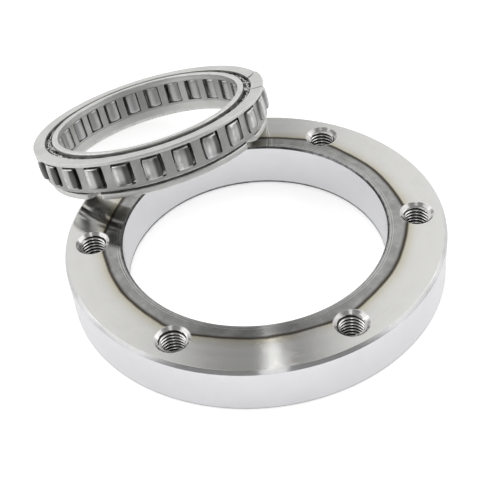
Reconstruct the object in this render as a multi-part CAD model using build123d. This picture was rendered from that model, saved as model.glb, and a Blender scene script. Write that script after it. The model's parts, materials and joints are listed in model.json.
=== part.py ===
from build123d import *
import math
import os

# One-way starter clutch in two loose halves. A thick bolted outer race lies flat, and the sprag
# element that runs in its bore leans on it: the flange of its inner cage stands on the floor
# behind the race and rests on the race's rim. Millimetres, +Z up. The origin is on the axis of
# the race's bore, in its bottom face, and the sprag element leans towards +Y.

# Outer race
RACE_BORE_RADIUS = 41.7
BORE_TO_BOLTS = 9.6
BOLTS_TO_RIM = 8.7
RACE_HEIGHT = 15.8
RIM_CHAMFER = 1.0
FOOT_CHAMFER = 0.5
BORE_CHAMFER = 0.6
BOLT_COUNT = 6
BOLT_START_ANGLE = 28.5
TAP_DRILL_RADIUS = 3.4
COUNTERSINK_WIDTH = 1.9
HOLE_FOOT_BREAK = 0.4

# Sprags
SPRAG_COUNT = 25
SPRAG_START_ANGLE = 1.0
TRACK_GAP = 9.4
SPRAG_LENGTH = 7.4
SPRAG_TOP_DROP = 1.9
SPRAG_END_CHAMFER = 0.3
OUTER_LOBE_WIDTH = 5.6
INNER_LOBE_WIDTH = 4.4
WAIST_WIDTH = 3.2
OUTER_LOBE_ASIDE = 1.2
INNER_LOBE_ASIDE = 2.4
OUTER_LOBE_HEIGHT = 2.3
INNER_LOBE_HEIGHT = 1.9
CROWN_SHIFT = 0.4
CROWN_DROP = 0.6

# Sheet cages
SHEET = 1.2
CAGE_BORE_CLEARANCE = 0.25
CAGE_TRACK_CLEARANCE = 0.65
LIP_WIDTH = 3.5
RIM_OVERHANG = 1.1
FLANGE_WIDTH = 5.0
OUTER_CAGE_HEIGHT = 10.3
INNER_CAGE_HEIGHT = 14.1
EDGE_ROUND = 0.4
WINDOW_CORNER = 0.7
OUTER_WINDOW_TOP_PLAY = 0.6
OUTER_WINDOW_BOTTOM_PLAY = 0.15
INNER_WINDOW_TOP_PLAY = 0.15
INNER_WINDOW_BOTTOM_PLAY = 0.5
WINDOW_SIDE_PLAY = 1.2
SPRAG_SIDE_CLEARANCE = 0.2
NOTCH_COUNT = 4
NOTCH_START_ANGLE = 29.5
NOTCH_WIDTH = 4.6
NOTCH_DEPTH = 3.2

# Closing joint of the outer cage, two fine grooves across its lip
SEAM_WIDTH = 0.25
SEAM_DEPTH = 0.2
SEAM_ANGLE = 341.5
SEAM_SLANT = 6.0
LAP_ANGLE = 322.0

# Ribbon spring
RIBBON_THICKNESS = 0.3
RIBBON_RAIL = 0.8
RIBBON_SIDE_CLEARANCE = 1.3
RIBBON_END_CLEARANCE = 0.25

# Resting place of the sprag element
CAGE_LEAN = 18.4
SEAT_CLEARANCE = 0.1

# Slack when an edge is picked by its size, and what a bend leaves of its flat
TOLERANCE = 0.05

# Sizes that follow from those above
BOLT_CIRCLE_RADIUS = RACE_BORE_RADIUS + BORE_TO_BOLTS
RACE_OUTER_RADIUS = BOLT_CIRCLE_RADIUS + BOLTS_TO_RIM
TRACK_RADIUS = RACE_BORE_RADIUS - TRACK_GAP
OUTER_CAGE_RADIUS = RACE_BORE_RADIUS - CAGE_BORE_CLEARANCE
OUTER_WALL_RADIUS = OUTER_CAGE_RADIUS - RIM_OVERHANG
OUTER_CAGE_INSIDE = OUTER_WALL_RADIUS - SHEET
INNER_CAGE_RADIUS = TRACK_RADIUS + CAGE_TRACK_CLEARANCE
INNER_CAGE_OUTSIDE = INNER_CAGE_RADIUS + SHEET
FLANGE_RADIUS = INNER_CAGE_OUTSIDE + FLANGE_WIDTH
LIP_RADIUS = OUTER_CAGE_RADIUS - LIP_WIDTH
RIBBON_RADIUS = (LIP_RADIUS + INNER_CAGE_OUTSIDE) / 2
SPRAG_TOP = -SPRAG_TOP_DROP
SPRAG_BOTTOM = SPRAG_TOP - SPRAG_LENGTH
OUTER_WINDOW_WIDTH = OUTER_LOBE_WIDTH + WINDOW_SIDE_PLAY
INNER_WINDOW_WIDTH = INNER_LOBE_WIDTH + WINDOW_SIDE_PLAY
SPRAG_SHIFT = SPRAG_SIDE_CLEARANCE - WINDOW_SIDE_PLAY / 2


def turned(angle, shape):
    """The shape turned about the vertical axis by an angle in degrees."""
    return Rot(0, 0, angle) * shape


def around(count, start, shape):
    """Copies of a shape at equal angles about the vertical axis."""
    return [turned(start + index * 360 / count, shape) for index in range(count)]


def ring(points):
    """A solid of revolution about the vertical axis from (radius, height) corners."""
    outline = make_face(Polyline([(radius, 0, height) for radius, height in points], close=True))
    return revolve(outline, Axis.Z)


def cage_place():
    """Where the sprag element's own frame lies: its origin is the centre of its top face.

    The lowest point of the inner cage's flange touches the floor. The circle where that flange
    turns up into the wall meets the circle of the race's top edge, which fixes how far from the
    race's axis the element stands.
    """
    lean = math.radians(CAGE_LEAN)
    height = FLANGE_RADIUS * math.sin(lean) + INNER_CAGE_HEIGHT * math.cos(lean)
    edge_radius = RACE_OUTER_RADIUS - RIM_CHAMFER
    rise = height - INNER_CAGE_HEIGHT * math.cos(lean) - RACE_HEIGHT - SEAT_CLEARANCE
    along = rise / math.sin(lean)
    across = math.sqrt(INNER_CAGE_OUTSIDE**2 - along**2)
    rim_centre = math.sqrt(edge_radius**2 - across**2) - along * math.cos(lean)
    distance = rim_centre + INNER_CAGE_HEIGHT * math.sin(lean)
    return Pos(0, distance, height) * Rot(-CAGE_LEAN, 0, 0)


def outer_race():
    """The race: a turned ring with six tapped through holes, countersunk at the top."""
    body = ring([
        (RACE_BORE_RADIUS + BORE_CHAMFER, 0),
        (RACE_OUTER_RADIUS - FOOT_CHAMFER, 0),
        (RACE_OUTER_RADIUS, FOOT_CHAMFER),
        (RACE_OUTER_RADIUS, RACE_HEIGHT - RIM_CHAMFER),
        (RACE_OUTER_RADIUS - RIM_CHAMFER, RACE_HEIGHT),
        (RACE_BORE_RADIUS + BORE_CHAMFER, RACE_HEIGHT),
        (RACE_BORE_RADIUS, RACE_HEIGHT - BORE_CHAMFER),
        (RACE_BORE_RADIUS, BORE_CHAMFER),
    ])
    mouth_radius = TAP_DRILL_RADIUS + COUNTERSINK_WIDTH
    hole = ring([
        (0, 0),
        (TAP_DRILL_RADIUS + HOLE_FOOT_BREAK, 0),
        (TAP_DRILL_RADIUS, HOLE_FOOT_BREAK),
        (TAP_DRILL_RADIUS, RACE_HEIGHT - COUNTERSINK_WIDTH),
        (mouth_radius, RACE_HEIGHT),
        (0, RACE_HEIGHT),
    ])
    return body - around(BOLT_COUNT, BOLT_START_ANGLE, Pos(BOLT_CIRCLE_RADIUS, 0, 0) * hole)


def windows(wall_inside, aside, width, top, bottom):
    """The cutters for a cage wall's windows, each this far aside of its sprag's radial line."""
    face = Plane.YZ * RectangleRounded(width, top - bottom, WINDOW_CORNER)
    cutter = Pos(wall_inside - SHEET / 2, aside, (top + bottom) / 2) * extrude(face, 2 * SHEET)
    return around(SPRAG_COUNT, SPRAG_START_ANGLE, cutter)


def circles_at(body, radius, low, high):
    """The body's circular edges of one radius that lie between two heights."""
    circles = body.edges().filter_by(GeomType.CIRCLE)
    return [
        edge for edge in circles
        if abs(edge.radius - radius) < TOLERANCE and low < edge.arc_center.Z < high
    ]


def seam(angle_inside, angle_outside):
    """A fine groove across the lip, from one angle at its inside to another at its outside."""
    start = Vector(LIP_RADIUS - SEAM_WIDTH, 0).rotate(Axis.Z, angle_inside)
    end = Vector(OUTER_CAGE_RADIUS + SEAM_WIDTH, 0).rotate(Axis.Z, angle_outside)
    run = end - start
    heading = math.degrees(math.atan2(run.Y, run.X))
    middle = (start + end) * 0.5
    return Pos(middle.X, middle.Y, 0) * Rot(0, 0, heading) * Box(run.length, SEAM_WIDTH, 2 * SEAM_DEPTH)


def outer_cage():
    """The outer cage: a windowed wall under a rim that overhangs it, closed by a joint in the rim."""
    body = ring([
        (LIP_RADIUS, 0),
        (OUTER_CAGE_RADIUS, 0),
        (OUTER_CAGE_RADIUS, -SHEET),
        (OUTER_WALL_RADIUS, -SHEET),
        (OUTER_WALL_RADIUS, -OUTER_CAGE_HEIGHT),
        (OUTER_CAGE_INSIDE, -OUTER_CAGE_HEIGHT),
        (OUTER_CAGE_INSIDE, -SHEET),
        (LIP_RADIUS, -SHEET),
    ])
    edges = circles_at(body, OUTER_CAGE_RADIUS, -2 * SHEET, SHEET)
    edges += circles_at(body, OUTER_WALL_RADIUS, -2 * OUTER_CAGE_HEIGHT, -2 * SHEET)
    body = fillet(edges, EDGE_ROUND)
    top = SPRAG_TOP + OUTER_WINDOW_TOP_PLAY
    bottom = SPRAG_BOTTOM - OUTER_WINDOW_BOTTOM_PLAY
    body -= windows(OUTER_CAGE_INSIDE, -OUTER_LOBE_ASIDE, OUTER_WINDOW_WIDTH, top, bottom)
    body -= seam(SEAM_ANGLE, SEAM_ANGLE + SEAM_SLANT)
    body -= seam(LAP_ANGLE, LAP_ANGLE)
    return body


def inner_cage():
    """The inner cage: a windowed wall with a rounded rim and a notched outward flange."""
    flange_top = SHEET - INNER_CAGE_HEIGHT
    body = ring([
        (INNER_CAGE_RADIUS, 0),
        (INNER_CAGE_OUTSIDE, 0),
        (INNER_CAGE_OUTSIDE, flange_top),
        (FLANGE_RADIUS, flange_top),
        (FLANGE_RADIUS, -INNER_CAGE_HEIGHT),
        (INNER_CAGE_RADIUS, -INNER_CAGE_HEIGHT),
    ])
    bend = circles_at(body, INNER_CAGE_RADIUS, -2 * INNER_CAGE_HEIGHT, flange_top)
    body = fillet(bend, SHEET - TOLERANCE)
    rims = circles_at(body, INNER_CAGE_RADIUS, -SHEET, SHEET)
    rims += circles_at(body, INNER_CAGE_OUTSIDE, -SHEET, SHEET)
    rims += circles_at(body, FLANGE_RADIUS, -2 * INNER_CAGE_HEIGHT, 0)
    body = fillet(rims, EDGE_ROUND)
    notch = Pos(FLANGE_RADIUS, 0, flange_top - SHEET / 2) * Box(2 * NOTCH_DEPTH, NOTCH_WIDTH, 2 * SHEET)
    body -= around(NOTCH_COUNT, NOTCH_START_ANGLE, notch)
    top = SPRAG_TOP + INNER_WINDOW_TOP_PLAY
    bottom = SPRAG_BOTTOM - INNER_WINDOW_BOTTOM_PLAY
    return body - windows(INNER_CAGE_RADIUS, INNER_LOBE_ASIDE, INNER_WINDOW_WIDTH, top, bottom)


def ribbon_spring():
    """The ribbon spring: a thin band threaded over the sprags, with a window for each."""
    window_top = SPRAG_TOP + RIBBON_END_CLEARANCE
    window_bottom = SPRAG_BOTTOM - RIBBON_END_CLEARANCE
    band = ring([
        (RIBBON_RADIUS - RIBBON_THICKNESS / 2, window_top + RIBBON_RAIL),
        (RIBBON_RADIUS + RIBBON_THICKNESS / 2, window_top + RIBBON_RAIL),
        (RIBBON_RADIUS + RIBBON_THICKNESS / 2, window_bottom - RIBBON_RAIL),
        (RIBBON_RADIUS - RIBBON_THICKNESS / 2, window_bottom - RIBBON_RAIL),
    ])
    opening = Pos(RIBBON_RADIUS, 0, (window_top + window_bottom) / 2) * Box(
        4 * RIBBON_THICKNESS, WAIST_WIDTH + 2 * RIBBON_SIDE_CLEARANCE, window_top - window_bottom
    )
    share = (RIBBON_RADIUS - TRACK_RADIUS) / TRACK_GAP
    aside = INNER_LOBE_ASIDE - share * (INNER_LOBE_ASIDE + OUTER_LOBE_ASIDE)
    return band - around(SPRAG_COUNT, SPRAG_START_ANGLE, Pos(0, aside + SPRAG_SHIFT, 0) * opening)


def sprag():
    """One sprag at +X: a waisted, leaning strut whose crowns reach the bore and the inner track."""
    outer_low = -OUTER_LOBE_ASIDE - OUTER_LOBE_WIDTH / 2
    outer_high = -OUTER_LOBE_ASIDE + OUTER_LOBE_WIDTH / 2
    inner_low = INNER_LOBE_ASIDE - INNER_LOBE_WIDTH / 2
    inner_high = INNER_LOBE_ASIDE + INNER_LOBE_WIDTH / 2
    outer_crown = (RACE_BORE_RADIUS, CROWN_SHIFT - OUTER_LOBE_ASIDE)
    inner_crown = (TRACK_RADIUS, INNER_LOBE_ASIDE - CROWN_SHIFT)
    outer_end = RACE_BORE_RADIUS - CROWN_DROP
    inner_end = TRACK_RADIUS + CROWN_DROP
    outer_flank = RACE_BORE_RADIUS - OUTER_LOBE_HEIGHT
    inner_flank = TRACK_RADIUS + INNER_LOBE_HEIGHT
    waist = (RACE_BORE_RADIUS + TRACK_RADIUS) / 2
    waist_middle = (INNER_LOBE_ASIDE - OUTER_LOBE_ASIDE) / 2
    waist_low = (waist, waist_middle - WAIST_WIDTH / 2)
    waist_high = (waist, waist_middle + WAIST_WIDTH / 2)
    outline = Curve() + [
        ThreePointArc((outer_end, outer_low), outer_crown, (outer_end, outer_high)),
        Line((outer_end, outer_high), (outer_flank, outer_high)),
        ThreePointArc((outer_flank, outer_high), waist_high, (inner_flank, inner_high)),
        Line((inner_flank, inner_high), (inner_end, inner_high)),
        ThreePointArc((inner_end, inner_high), inner_crown, (inner_end, inner_low)),
        Line((inner_end, inner_low), (inner_flank, inner_low)),
        ThreePointArc((inner_flank, inner_low), waist_low, (outer_flank, outer_low)),
        Line((outer_flank, outer_low), (outer_end, outer_low)),
    ]
    body = extrude(Pos(0, SPRAG_SHIFT, SPRAG_BOTTOM) * make_face(outline), SPRAG_LENGTH)
    ends = body.edges().filter_by(Axis.Z, reverse=True)
    return chamfer(ends, SPRAG_END_CHAMFER)


def export(shape, node):
    """Write one node's STEP file."""
    export_step(shape, f"parts/{node}.step")


os.makedirs("parts", exist_ok=True)
place = cage_place()
export(outer_race(), "outer_race")
export(place * outer_cage(), "outer_cage")
export(place * inner_cage(), "inner_cage")
export(place * ribbon_spring(), "ribbon_spring")
for number, solid in enumerate(around(SPRAG_COUNT, SPRAG_START_ANGLE, sprag()), start=1):
    export(place * solid, f"sprag_{number:02d}")
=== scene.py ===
import json
import logging
import math
from collections.abc import Callable
from dataclasses import dataclass, field
from enum import Enum

import bmesh
import bpy
import numpy as np
from mathutils import Matrix, Vector

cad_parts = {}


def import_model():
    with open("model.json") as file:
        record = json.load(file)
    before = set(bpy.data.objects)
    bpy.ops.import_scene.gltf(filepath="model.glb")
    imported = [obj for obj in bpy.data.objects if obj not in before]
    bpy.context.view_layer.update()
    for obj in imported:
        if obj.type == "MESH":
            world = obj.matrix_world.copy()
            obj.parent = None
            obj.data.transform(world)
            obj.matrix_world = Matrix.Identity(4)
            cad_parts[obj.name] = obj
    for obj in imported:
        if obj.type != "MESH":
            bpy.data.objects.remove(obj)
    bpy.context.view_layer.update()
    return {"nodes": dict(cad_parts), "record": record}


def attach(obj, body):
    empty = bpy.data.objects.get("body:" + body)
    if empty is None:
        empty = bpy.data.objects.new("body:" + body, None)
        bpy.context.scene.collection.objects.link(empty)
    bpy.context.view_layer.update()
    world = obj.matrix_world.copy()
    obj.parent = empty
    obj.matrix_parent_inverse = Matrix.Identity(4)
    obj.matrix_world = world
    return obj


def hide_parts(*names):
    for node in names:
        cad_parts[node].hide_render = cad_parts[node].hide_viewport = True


# One-way starter clutch in two loose halves: a thick outer race with tapped holes lies flat, and
# the double-cage sprag element leans on its rim. Metres throughout, in the frame of the CAD model.

log = logging.getLogger("sprag_clutch")

MM = 0.001
WELD = 2e-7
FIRST_SPRAG = math.radians(1.0)
Array = np.ndarray
Wave = Callable[[Array, Array], Array]
Bend = Callable[[Array, Array, Array], tuple[Array, ...]]


# Mesh building


class Patchwork:
    """Grids of points that are joined into one closed mesh with a UV map and an edge mask."""

    def __init__(self) -> None:
        """Start with no points."""
        self.points: list[Array] = []
        self.quads: list[Array] = []
        self.uvs: list[Array] = []
        self.edges: list[Array] = []
        self.finishes: list[Array] = []
        self.count = 0

    def add(self, points: Array, uv: Array, edge: Array | float = 0.0, finish: int = 0) -> None:
        """Add one grid, where the quad of a cell (i, j) joins (i, j), (i+1, j), (i+1, j+1), (i, j+1).

        Args:
            points: Places, of shape (rows, columns, 3).
            uv: Surface coordinates in metres, of shape (rows, columns, 2).
            edge: 1 on edges bright from wear and on painted highlights, 0 where a point is plain, -1 where
            shade is painted, of shape (rows, columns) or one number.
            finish: Which of the piece's materials the grid gets.
        """
        rows, columns, _ = points.shape
        index = np.arange(rows * columns).reshape(rows, columns)
        corners = [index[:-1, :-1], index[1:, :-1], index[1:, 1:], index[:-1, 1:]]
        quads = np.stack(corners, axis=-1).reshape(-1, 4)
        self.points.append(points.reshape(-1, 3))
        self.quads.append(quads + self.count)
        self.uvs.append(uv.reshape(-1, 2)[quads].reshape(-1, 2))
        self.edges.append(np.broadcast_to(edge, (rows, columns)).reshape(-1).astype(float))
        self.finishes.append(np.full(len(quads), finish, dtype=np.int32))
        self.count += rows * columns

    def piece(self, name: str, *materials: bpy.types.Material, sharp: float = 40.0) -> bpy.types.Object:
        """Weld the grids and put them into an object at the origin.

        Args:
            name: The object's name.
            materials: Its finishes.
            sharp: Faces that meet at more than this angle, in degrees, are shaded with an edge.

        Returns:
            The finished object, linked to the scene.
        """
        places = np.concatenate(self.points)
        quads = np.concatenate(self.quads)
        mesh = bpy.data.meshes.new(name)
        mesh.from_pydata(places.tolist(), [], quads.tolist())
        layer = mesh.uv_layers.new(name="surface")
        layer.data.foreach_set("uv", np.concatenate(self.uvs).astype(np.float32).ravel())
        mesh.polygons.foreach_set("material_index", np.concatenate(self.finishes))
        wear_and_painted_light_mask = mesh.attributes.new("edge", "FLOAT", "POINT")
        wear_and_painted_light_mask.data.foreach_set("value", np.concatenate(self.edges).astype(np.float32))
        shell = bmesh.new()
        shell.from_mesh(mesh)
        bmesh.ops.remove_doubles(shell, verts=shell.verts, dist=WELD)
        bmesh.ops.dissolve_degenerate(shell, edges=shell.edges, dist=WELD)
        bmesh.ops.recalc_face_normals(shell, faces=shell.faces)
        if shell.calc_volume(signed=True) < 0:
            bmesh.ops.reverse_faces(shell, faces=shell.faces)
        open_edges = sum(1 for edge in shell.edges if not edge.is_manifold)
        shell.to_mesh(mesh)
        shell.free()
        mesh.shade_smooth()
        mesh.set_sharp_from_angle(angle=math.radians(sharp))
        for material in materials:
            mesh.materials.append(material)
        piece = bpy.data.objects.new(name, mesh)
        bpy.context.scene.collection.objects.link(piece)
        log.info("%s: %d faces, %d open edges", name, len(mesh.polygons), open_edges)
        return piece


def rounded_profile(corners: list[tuple[float, float, float]], steps: int = 4) -> tuple[Array, Array]:
    """A polyline whose corners are replaced by arcs.

    A corner with radius q is cut back by q * tan(turn / 2) along both of its legs, and the arc
    between the two cuts is a quadratic curve through them with the corner as its control point.

    Args:
        corners: (radius from the axis, height, corner radius), the ends with corner radius 0.
        steps: Segments in each arc.

    Returns:
        The points, of shape (n, 2), and a mask of the same length that is 1 on the arcs.
    """
    points: list[Array] = []
    wear_and_painted_light_mask: list[float] = []
    spots = np.array([corner[:2] for corner in corners], float)
    for i, (_, _, q) in enumerate(corners):
        here = spots[i]
        if q == 0.0 or i in (0, len(corners) - 1):
            points.append(here)
            wear_and_painted_light_mask.append(0.0)
            continue
        back = spots[i - 1] - here
        ahead = spots[i + 1] - here
        back_length = float(np.linalg.norm(back))
        ahead_length = float(np.linalg.norm(ahead))
        turn = math.pi - math.acos(float(np.clip(back @ ahead / back_length / ahead_length, -1, 1)))
        cut = min(q * math.tan(turn / 2), 0.49 * back_length, 0.49 * ahead_length)
        start = here + back / back_length * cut
        end = here + ahead / ahead_length * cut
        for t in np.linspace(0, 1, steps + 1):
            points.append((1 - t) ** 2 * start + 2 * t * (1 - t) * here + t * t * end)
            wear_and_painted_light_mask.append(1.0 if 0 < t < 1 else 0.5)
    return np.array(points), np.array(wear_and_painted_light_mask)


def densify(profile: Array, wear_and_painted_light_mask: Array, longest: float) -> tuple[Array, Array]:
    """Split the profile's long legs so that none is longer than a limit.

    Args:
        profile: Points, of shape (n, 2).
        wear_and_painted_light_mask: The mask that goes with them.
        longest: The limit in metres.

    Returns:
        The finer points and mask.
    """
    steps = np.maximum(1, np.ceil(np.linalg.norm(np.diff(profile, axis=0), axis=1) / longest)).astype(int)
    shares = np.concatenate([i + np.arange(n) / n for i, n in enumerate(steps)] + [[len(profile) - 1.0]])
    stations = np.arange(len(profile))
    columns = [np.interp(shares, stations, profile[:, k]) for k in (0, 1)]
    return np.stack(columns, axis=1), np.interp(shares, stations, wear_and_painted_light_mask)


def run_length(profile: Array) -> Array:
    """The distance travelled along a profile at each of its points."""
    return np.concatenate([[0.0], np.cumsum(np.linalg.norm(np.diff(profile, axis=0), axis=1))])


def side_of(angle: Array, centre: float) -> Array:
    """The signed angle from a centre, between minus and plus half a turn."""
    return (angle - centre + math.pi) % (2 * math.pi) - math.pi


def polar(radius: Array | float, angle: Array | float) -> Array:
    """Flat points (radius * cos angle, radius * sin angle)."""
    return np.stack([radius * np.cos(angle), radius * np.sin(angle)], axis=-1)


def spread_between(first: Array, last: Array, shares: Array) -> Array:
    """A grid of points that runs from one line to another.

    Args:
        first: Points of the one line, of shape (n, 2).
        last: Points of the other, of the same shape.
        shares: Where the grid's columns lie between them, from 0 to 1.

    Returns:
        Points, of shape (n, number of shares, 2): first * (1 - share) + last * share.
    """
    share = shares[None, :, None]
    return first[:, None, :] * (1 - share) + last[:, None, :] * share


@dataclass(frozen=True)
class Placement:
    """A right-handed frame: its origin, its axis Z, and X along the scene's X.

    Attributes:
        origin: Where the frame's origin lies in the scene.
        axis: Unit vector of the frame's Z.
    """

    origin: tuple[float, float, float] = (0.0, 0.0, 0.0)
    axis: tuple[float, float, float] = (0.0, 0.0, 1.0)

    def basis(self) -> Array:
        """The frame's X, Y and Z as the rows of a matrix."""
        across, axis = np.array([1.0, 0.0, 0.0]), np.array(self.axis, float)
        return np.stack([across, np.cross(axis, across), axis])

    def place(self, points: Array) -> Array:
        """Carry points from this frame into the scene."""
        return points @ self.basis() + np.array(self.origin)

    def polar(self, radius: Array, angle: Array, height: Array) -> Array:
        """Places in the scene of points given by radius, angle and height in this frame."""
        parts = np.broadcast_arrays(radius * np.cos(angle), radius * np.sin(angle), height)
        return self.place(np.stack(parts, axis=-1))


@dataclass
class ElementPart:
    """What the parts of the sprag element share.

    Attributes:
        placement: The element's frame.
        count: Number of sprags, and of windows in each sheet.
        start: Angle of the first sprag's radial line.
    """

    placement: Placement
    count: int
    start: float


# Windows in a sheet wall


class Side(Enum):
    """The four sides of a window, in the order in which they are walked."""

    TOP = 0
    RIGHT = 1
    BOTTOM = 2
    LEFT = 3


@dataclass(frozen=True)
class Window:
    """A rectangular window with rounded corners in a wall.

    Attributes:
        width: Across, in metres.
        top: Height of its upper side in the element's frame.
        bottom: Height of its lower side.
        corner: Radius of its corners.
        aside: How far its middle lies aside of its sprag's radial line.
        edge: Radius of the rounding where it meets the wall's two skins.
    """

    width: float
    top: float
    bottom: float
    corner: float
    aside: float
    edge: float

    def outline(self, side: Side, stations: Array) -> tuple[Array, Array]:
        """The window's outline along one side, between the middles of its two corner arcs.

        A side is half an arc, a straight stretch and half an arc. The station w from -1 to 1 is
        spread evenly over their joint length.

        Args:
            side: Which side is walked: the top and bottom towards +Y, the others towards +Z.
            stations: Values of w.

        Returns:
            Points (across, height) and their outward normals, each of shape (n, 2).
        """
        upright = side in (Side.LEFT, Side.RIGHT)
        height = self.top - self.bottom
        length = (height if upright else self.width) - 2 * self.corner
        reach = (self.width if upright else height) / 2
        arc = self.corner * math.pi / 4
        walked = (stations + 1) / 2 * (length + 2 * arc) - arc
        low = np.clip(-walked, 0, arc) / self.corner
        high = np.clip(walked - length, 0, arc) / self.corner
        lean = high - low
        along = np.clip(walked, 0, length) - length / 2 + self.corner * np.sin(lean)
        out = reach - self.corner + self.corner * np.cos(lean)
        points = np.stack([along, out], axis=-1)
        normals = np.stack([np.sin(lean), np.cos(lean)], axis=-1)
        if upright:
            points, normals = points[:, ::-1], normals[:, ::-1]
        flip = np.where([side is Side.LEFT, side is Side.BOTTOM], -1.0, 1.0)
        middle = np.array([self.aside, (self.top + self.bottom) / 2])
        return points * flip + middle, normals * flip


# Stations run from -1 to 1 along a side. Where they stand near a corner, how far the even ones
# reach, beyond which a further one is taken as the corner, and how near one may come to another.
# Then the shares of the way from a window to its cell's border at which a skin has points, and the
# number of points on the rounding of a window's edge.
CORNER_STATIONS = (0.955, 0.91, 0.865)
EVEN_REACH = 0.8
CELL_END = 0.999
SAME_STATION = 0.004
SKIN_SHARES = (0.0, 0.12, 0.3, 0.55, 0.8, 1.0)
ROUNDING_STEPS = 4


@dataclass
class WindowedWall(ElementPart):
    """A round sheet wall with one window for each sprag.

    Attributes:
        outside: Radius of the outer skin.
        inside: Radius of the inner skin.
        window: The window's shape.
        top: Height at which the windowed band ends above.
        bottom: Height at which it ends below.
        top_extra: Further angles at which the upper end has points.
        bottom_extra: Further angles at which the lower end has points.
        waves: A function of angle and height that is added to both radii, or None.
        columns: Even stations along a cell's top and bottom.
        rows: Even stations along its upright sides.
    """

    outside: float
    inside: float
    window: Window
    top: float
    bottom: float
    top_extra: list[float] = field(default_factory=list)
    bottom_extra: list[float] = field(default_factory=list)
    waves: Wave | None = None
    columns: int = 15
    rows: int = 9

    def pitch(self) -> float:
        """The angle between two windows."""
        return 2 * math.pi / self.count

    def middles(self) -> Array:
        """The angle of each window's middle."""
        shift = math.asin(self.window.aside / ((self.outside + self.inside) / 2))
        return self.start + shift + np.arange(self.count) * self.pitch()

    def stations(self, middle: float, side: Side) -> Array:
        """Where along one side of a cell its points lie, from -1 to 1.

        Args:
            middle: The angle of the cell's middle.
            side: Which side.

        Returns:
            Sorted stations: a few near both corners, the rest even, and the extra angles.
        """
        number = self.rows if side in (Side.LEFT, Side.RIGHT) else self.columns
        corner = np.array(CORNER_STATIONS)
        even = np.linspace(-EVEN_REACH, EVEN_REACH, number)
        base = np.concatenate([[-1.0], -corner, even, corner[::-1], [1.0]])
        extra = self.top_extra if side is Side.TOP else self.bottom_extra
        if side in (Side.LEFT, Side.RIGHT) or not extra:
            return base
        added = side_of(np.array(extra), middle) / (self.pitch() / 2)
        added = added[np.abs(added) < CELL_END]
        if not len(added):
            return base
        gap = np.abs(base[:, None] - added[None, :]).min(axis=1)
        kept = base[(gap > SAME_STATION) | (np.abs(base) == 1.0)]
        return np.sort(np.concatenate([kept, added]))

    def rim_angles(self, side: Side) -> Array:
        """All angles at which the band's upper or lower end has points.

        Args:
            side: Side.TOP or Side.BOTTOM.

        Returns:
            The angles, closed into a loop: the last is the first and a full turn on.
        """
        angles = np.concatenate([a + self.stations(a, side)[:-1] * self.pitch() / 2 for a in self.middles()])
        return np.concatenate([angles, [angles[0] + 2 * math.pi]])

    def skin_point(self, radius: Array | float, angle: Array, height: Array) -> Array:
        """Places on a skin, with the waves added to their radius.

        Args:
            radius: The skin's radius.
            angle: Angles of the points.
            height: Their heights.

        Returns:
            The places in the scene.
        """
        if self.waves is not None:
            radius = radius + self.waves(angle, height)
        return self.placement.polar(radius * np.ones_like(angle), angle, height)

    def build(self, patches: Patchwork) -> None:
        """Add both skins of the windowed band and the rims of its windows.

        Each side of each cell is a grid between the window's outline, grown by its rounding, and
        the cell's border: the point at share s is outline * (1 - s) + border * s, in angle and
        height. The rim follows a quarter circle in from one skin, straight through the sheet, and
        a quarter circle out to the other.

        Args:
            patches: The patchwork that takes the grids.
        """
        shares = np.array(SKIN_SHARES)
        sweep = np.linspace(0, math.pi / 2, ROUNDING_STEPS)
        edge = self.window.edge
        sunk = edge * (1 - np.cos(sweep))
        opened = edge * (1 - np.sin(sweep))
        depth = np.concatenate([sunk, (self.outside - self.inside) - sunk[::-1]])
        grow = np.concatenate([opened, opened[::-1]])
        mean = (self.outside + self.inside) / 2
        for middle in self.middles():
            line = middle - math.asin(self.window.aside / mean)
            for side in Side:
                stations = self.stations(middle, side)
                points, normals = self.window.outline(side, stations)
                if side in (Side.TOP, Side.BOTTOM):
                    border_angle = middle + stations * self.pitch() / 2
                    border_height = np.full(len(stations), self.top if side is Side.TOP else self.bottom)
                else:
                    sign = 1.0 if side is Side.RIGHT else -1.0
                    border_angle = np.full(len(stations), middle + sign * self.pitch() / 2)
                    border_height = self.bottom + (stations + 1) / 2 * (self.top - self.bottom)
                for radius in (self.outside, self.inside):
                    grown = points + normals * edge
                    angle = line + np.arcsin(grown[:, 0] / radius)
                    angles = angle[:, None] * (1 - shares) + border_angle[:, None] * shares
                    heights = grown[:, 1][:, None] * (1 - shares) + border_height[:, None] * shares
                    uv = np.stack([angles * mean, heights], axis=-1)
                    wear_and_painted_light_mask = np.broadcast_to(np.clip(1 - shares * 6, 0, 0.5), angles.shape)
                    patches.add(self.skin_point(radius, angles, heights), uv, wear_and_painted_light_mask)
                shifted = points[:, None, :] + normals[:, None, :] * grow[None, :, None]
                radii = self.outside - depth[None, :]
                angles = line + np.arcsin(shifted[..., 0] / radii)
                heights = shifted[..., 1]
                uv = np.stack([angles * mean, heights + depth[None, :]], axis=-1)
                wear_and_painted_light_mask = np.broadcast_to(np.where(grow > 0, 1.0, 0.3), angles.shape)
                patches.add(self.skin_point(radii, angles, heights), uv, wear_and_painted_light_mask)


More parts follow.
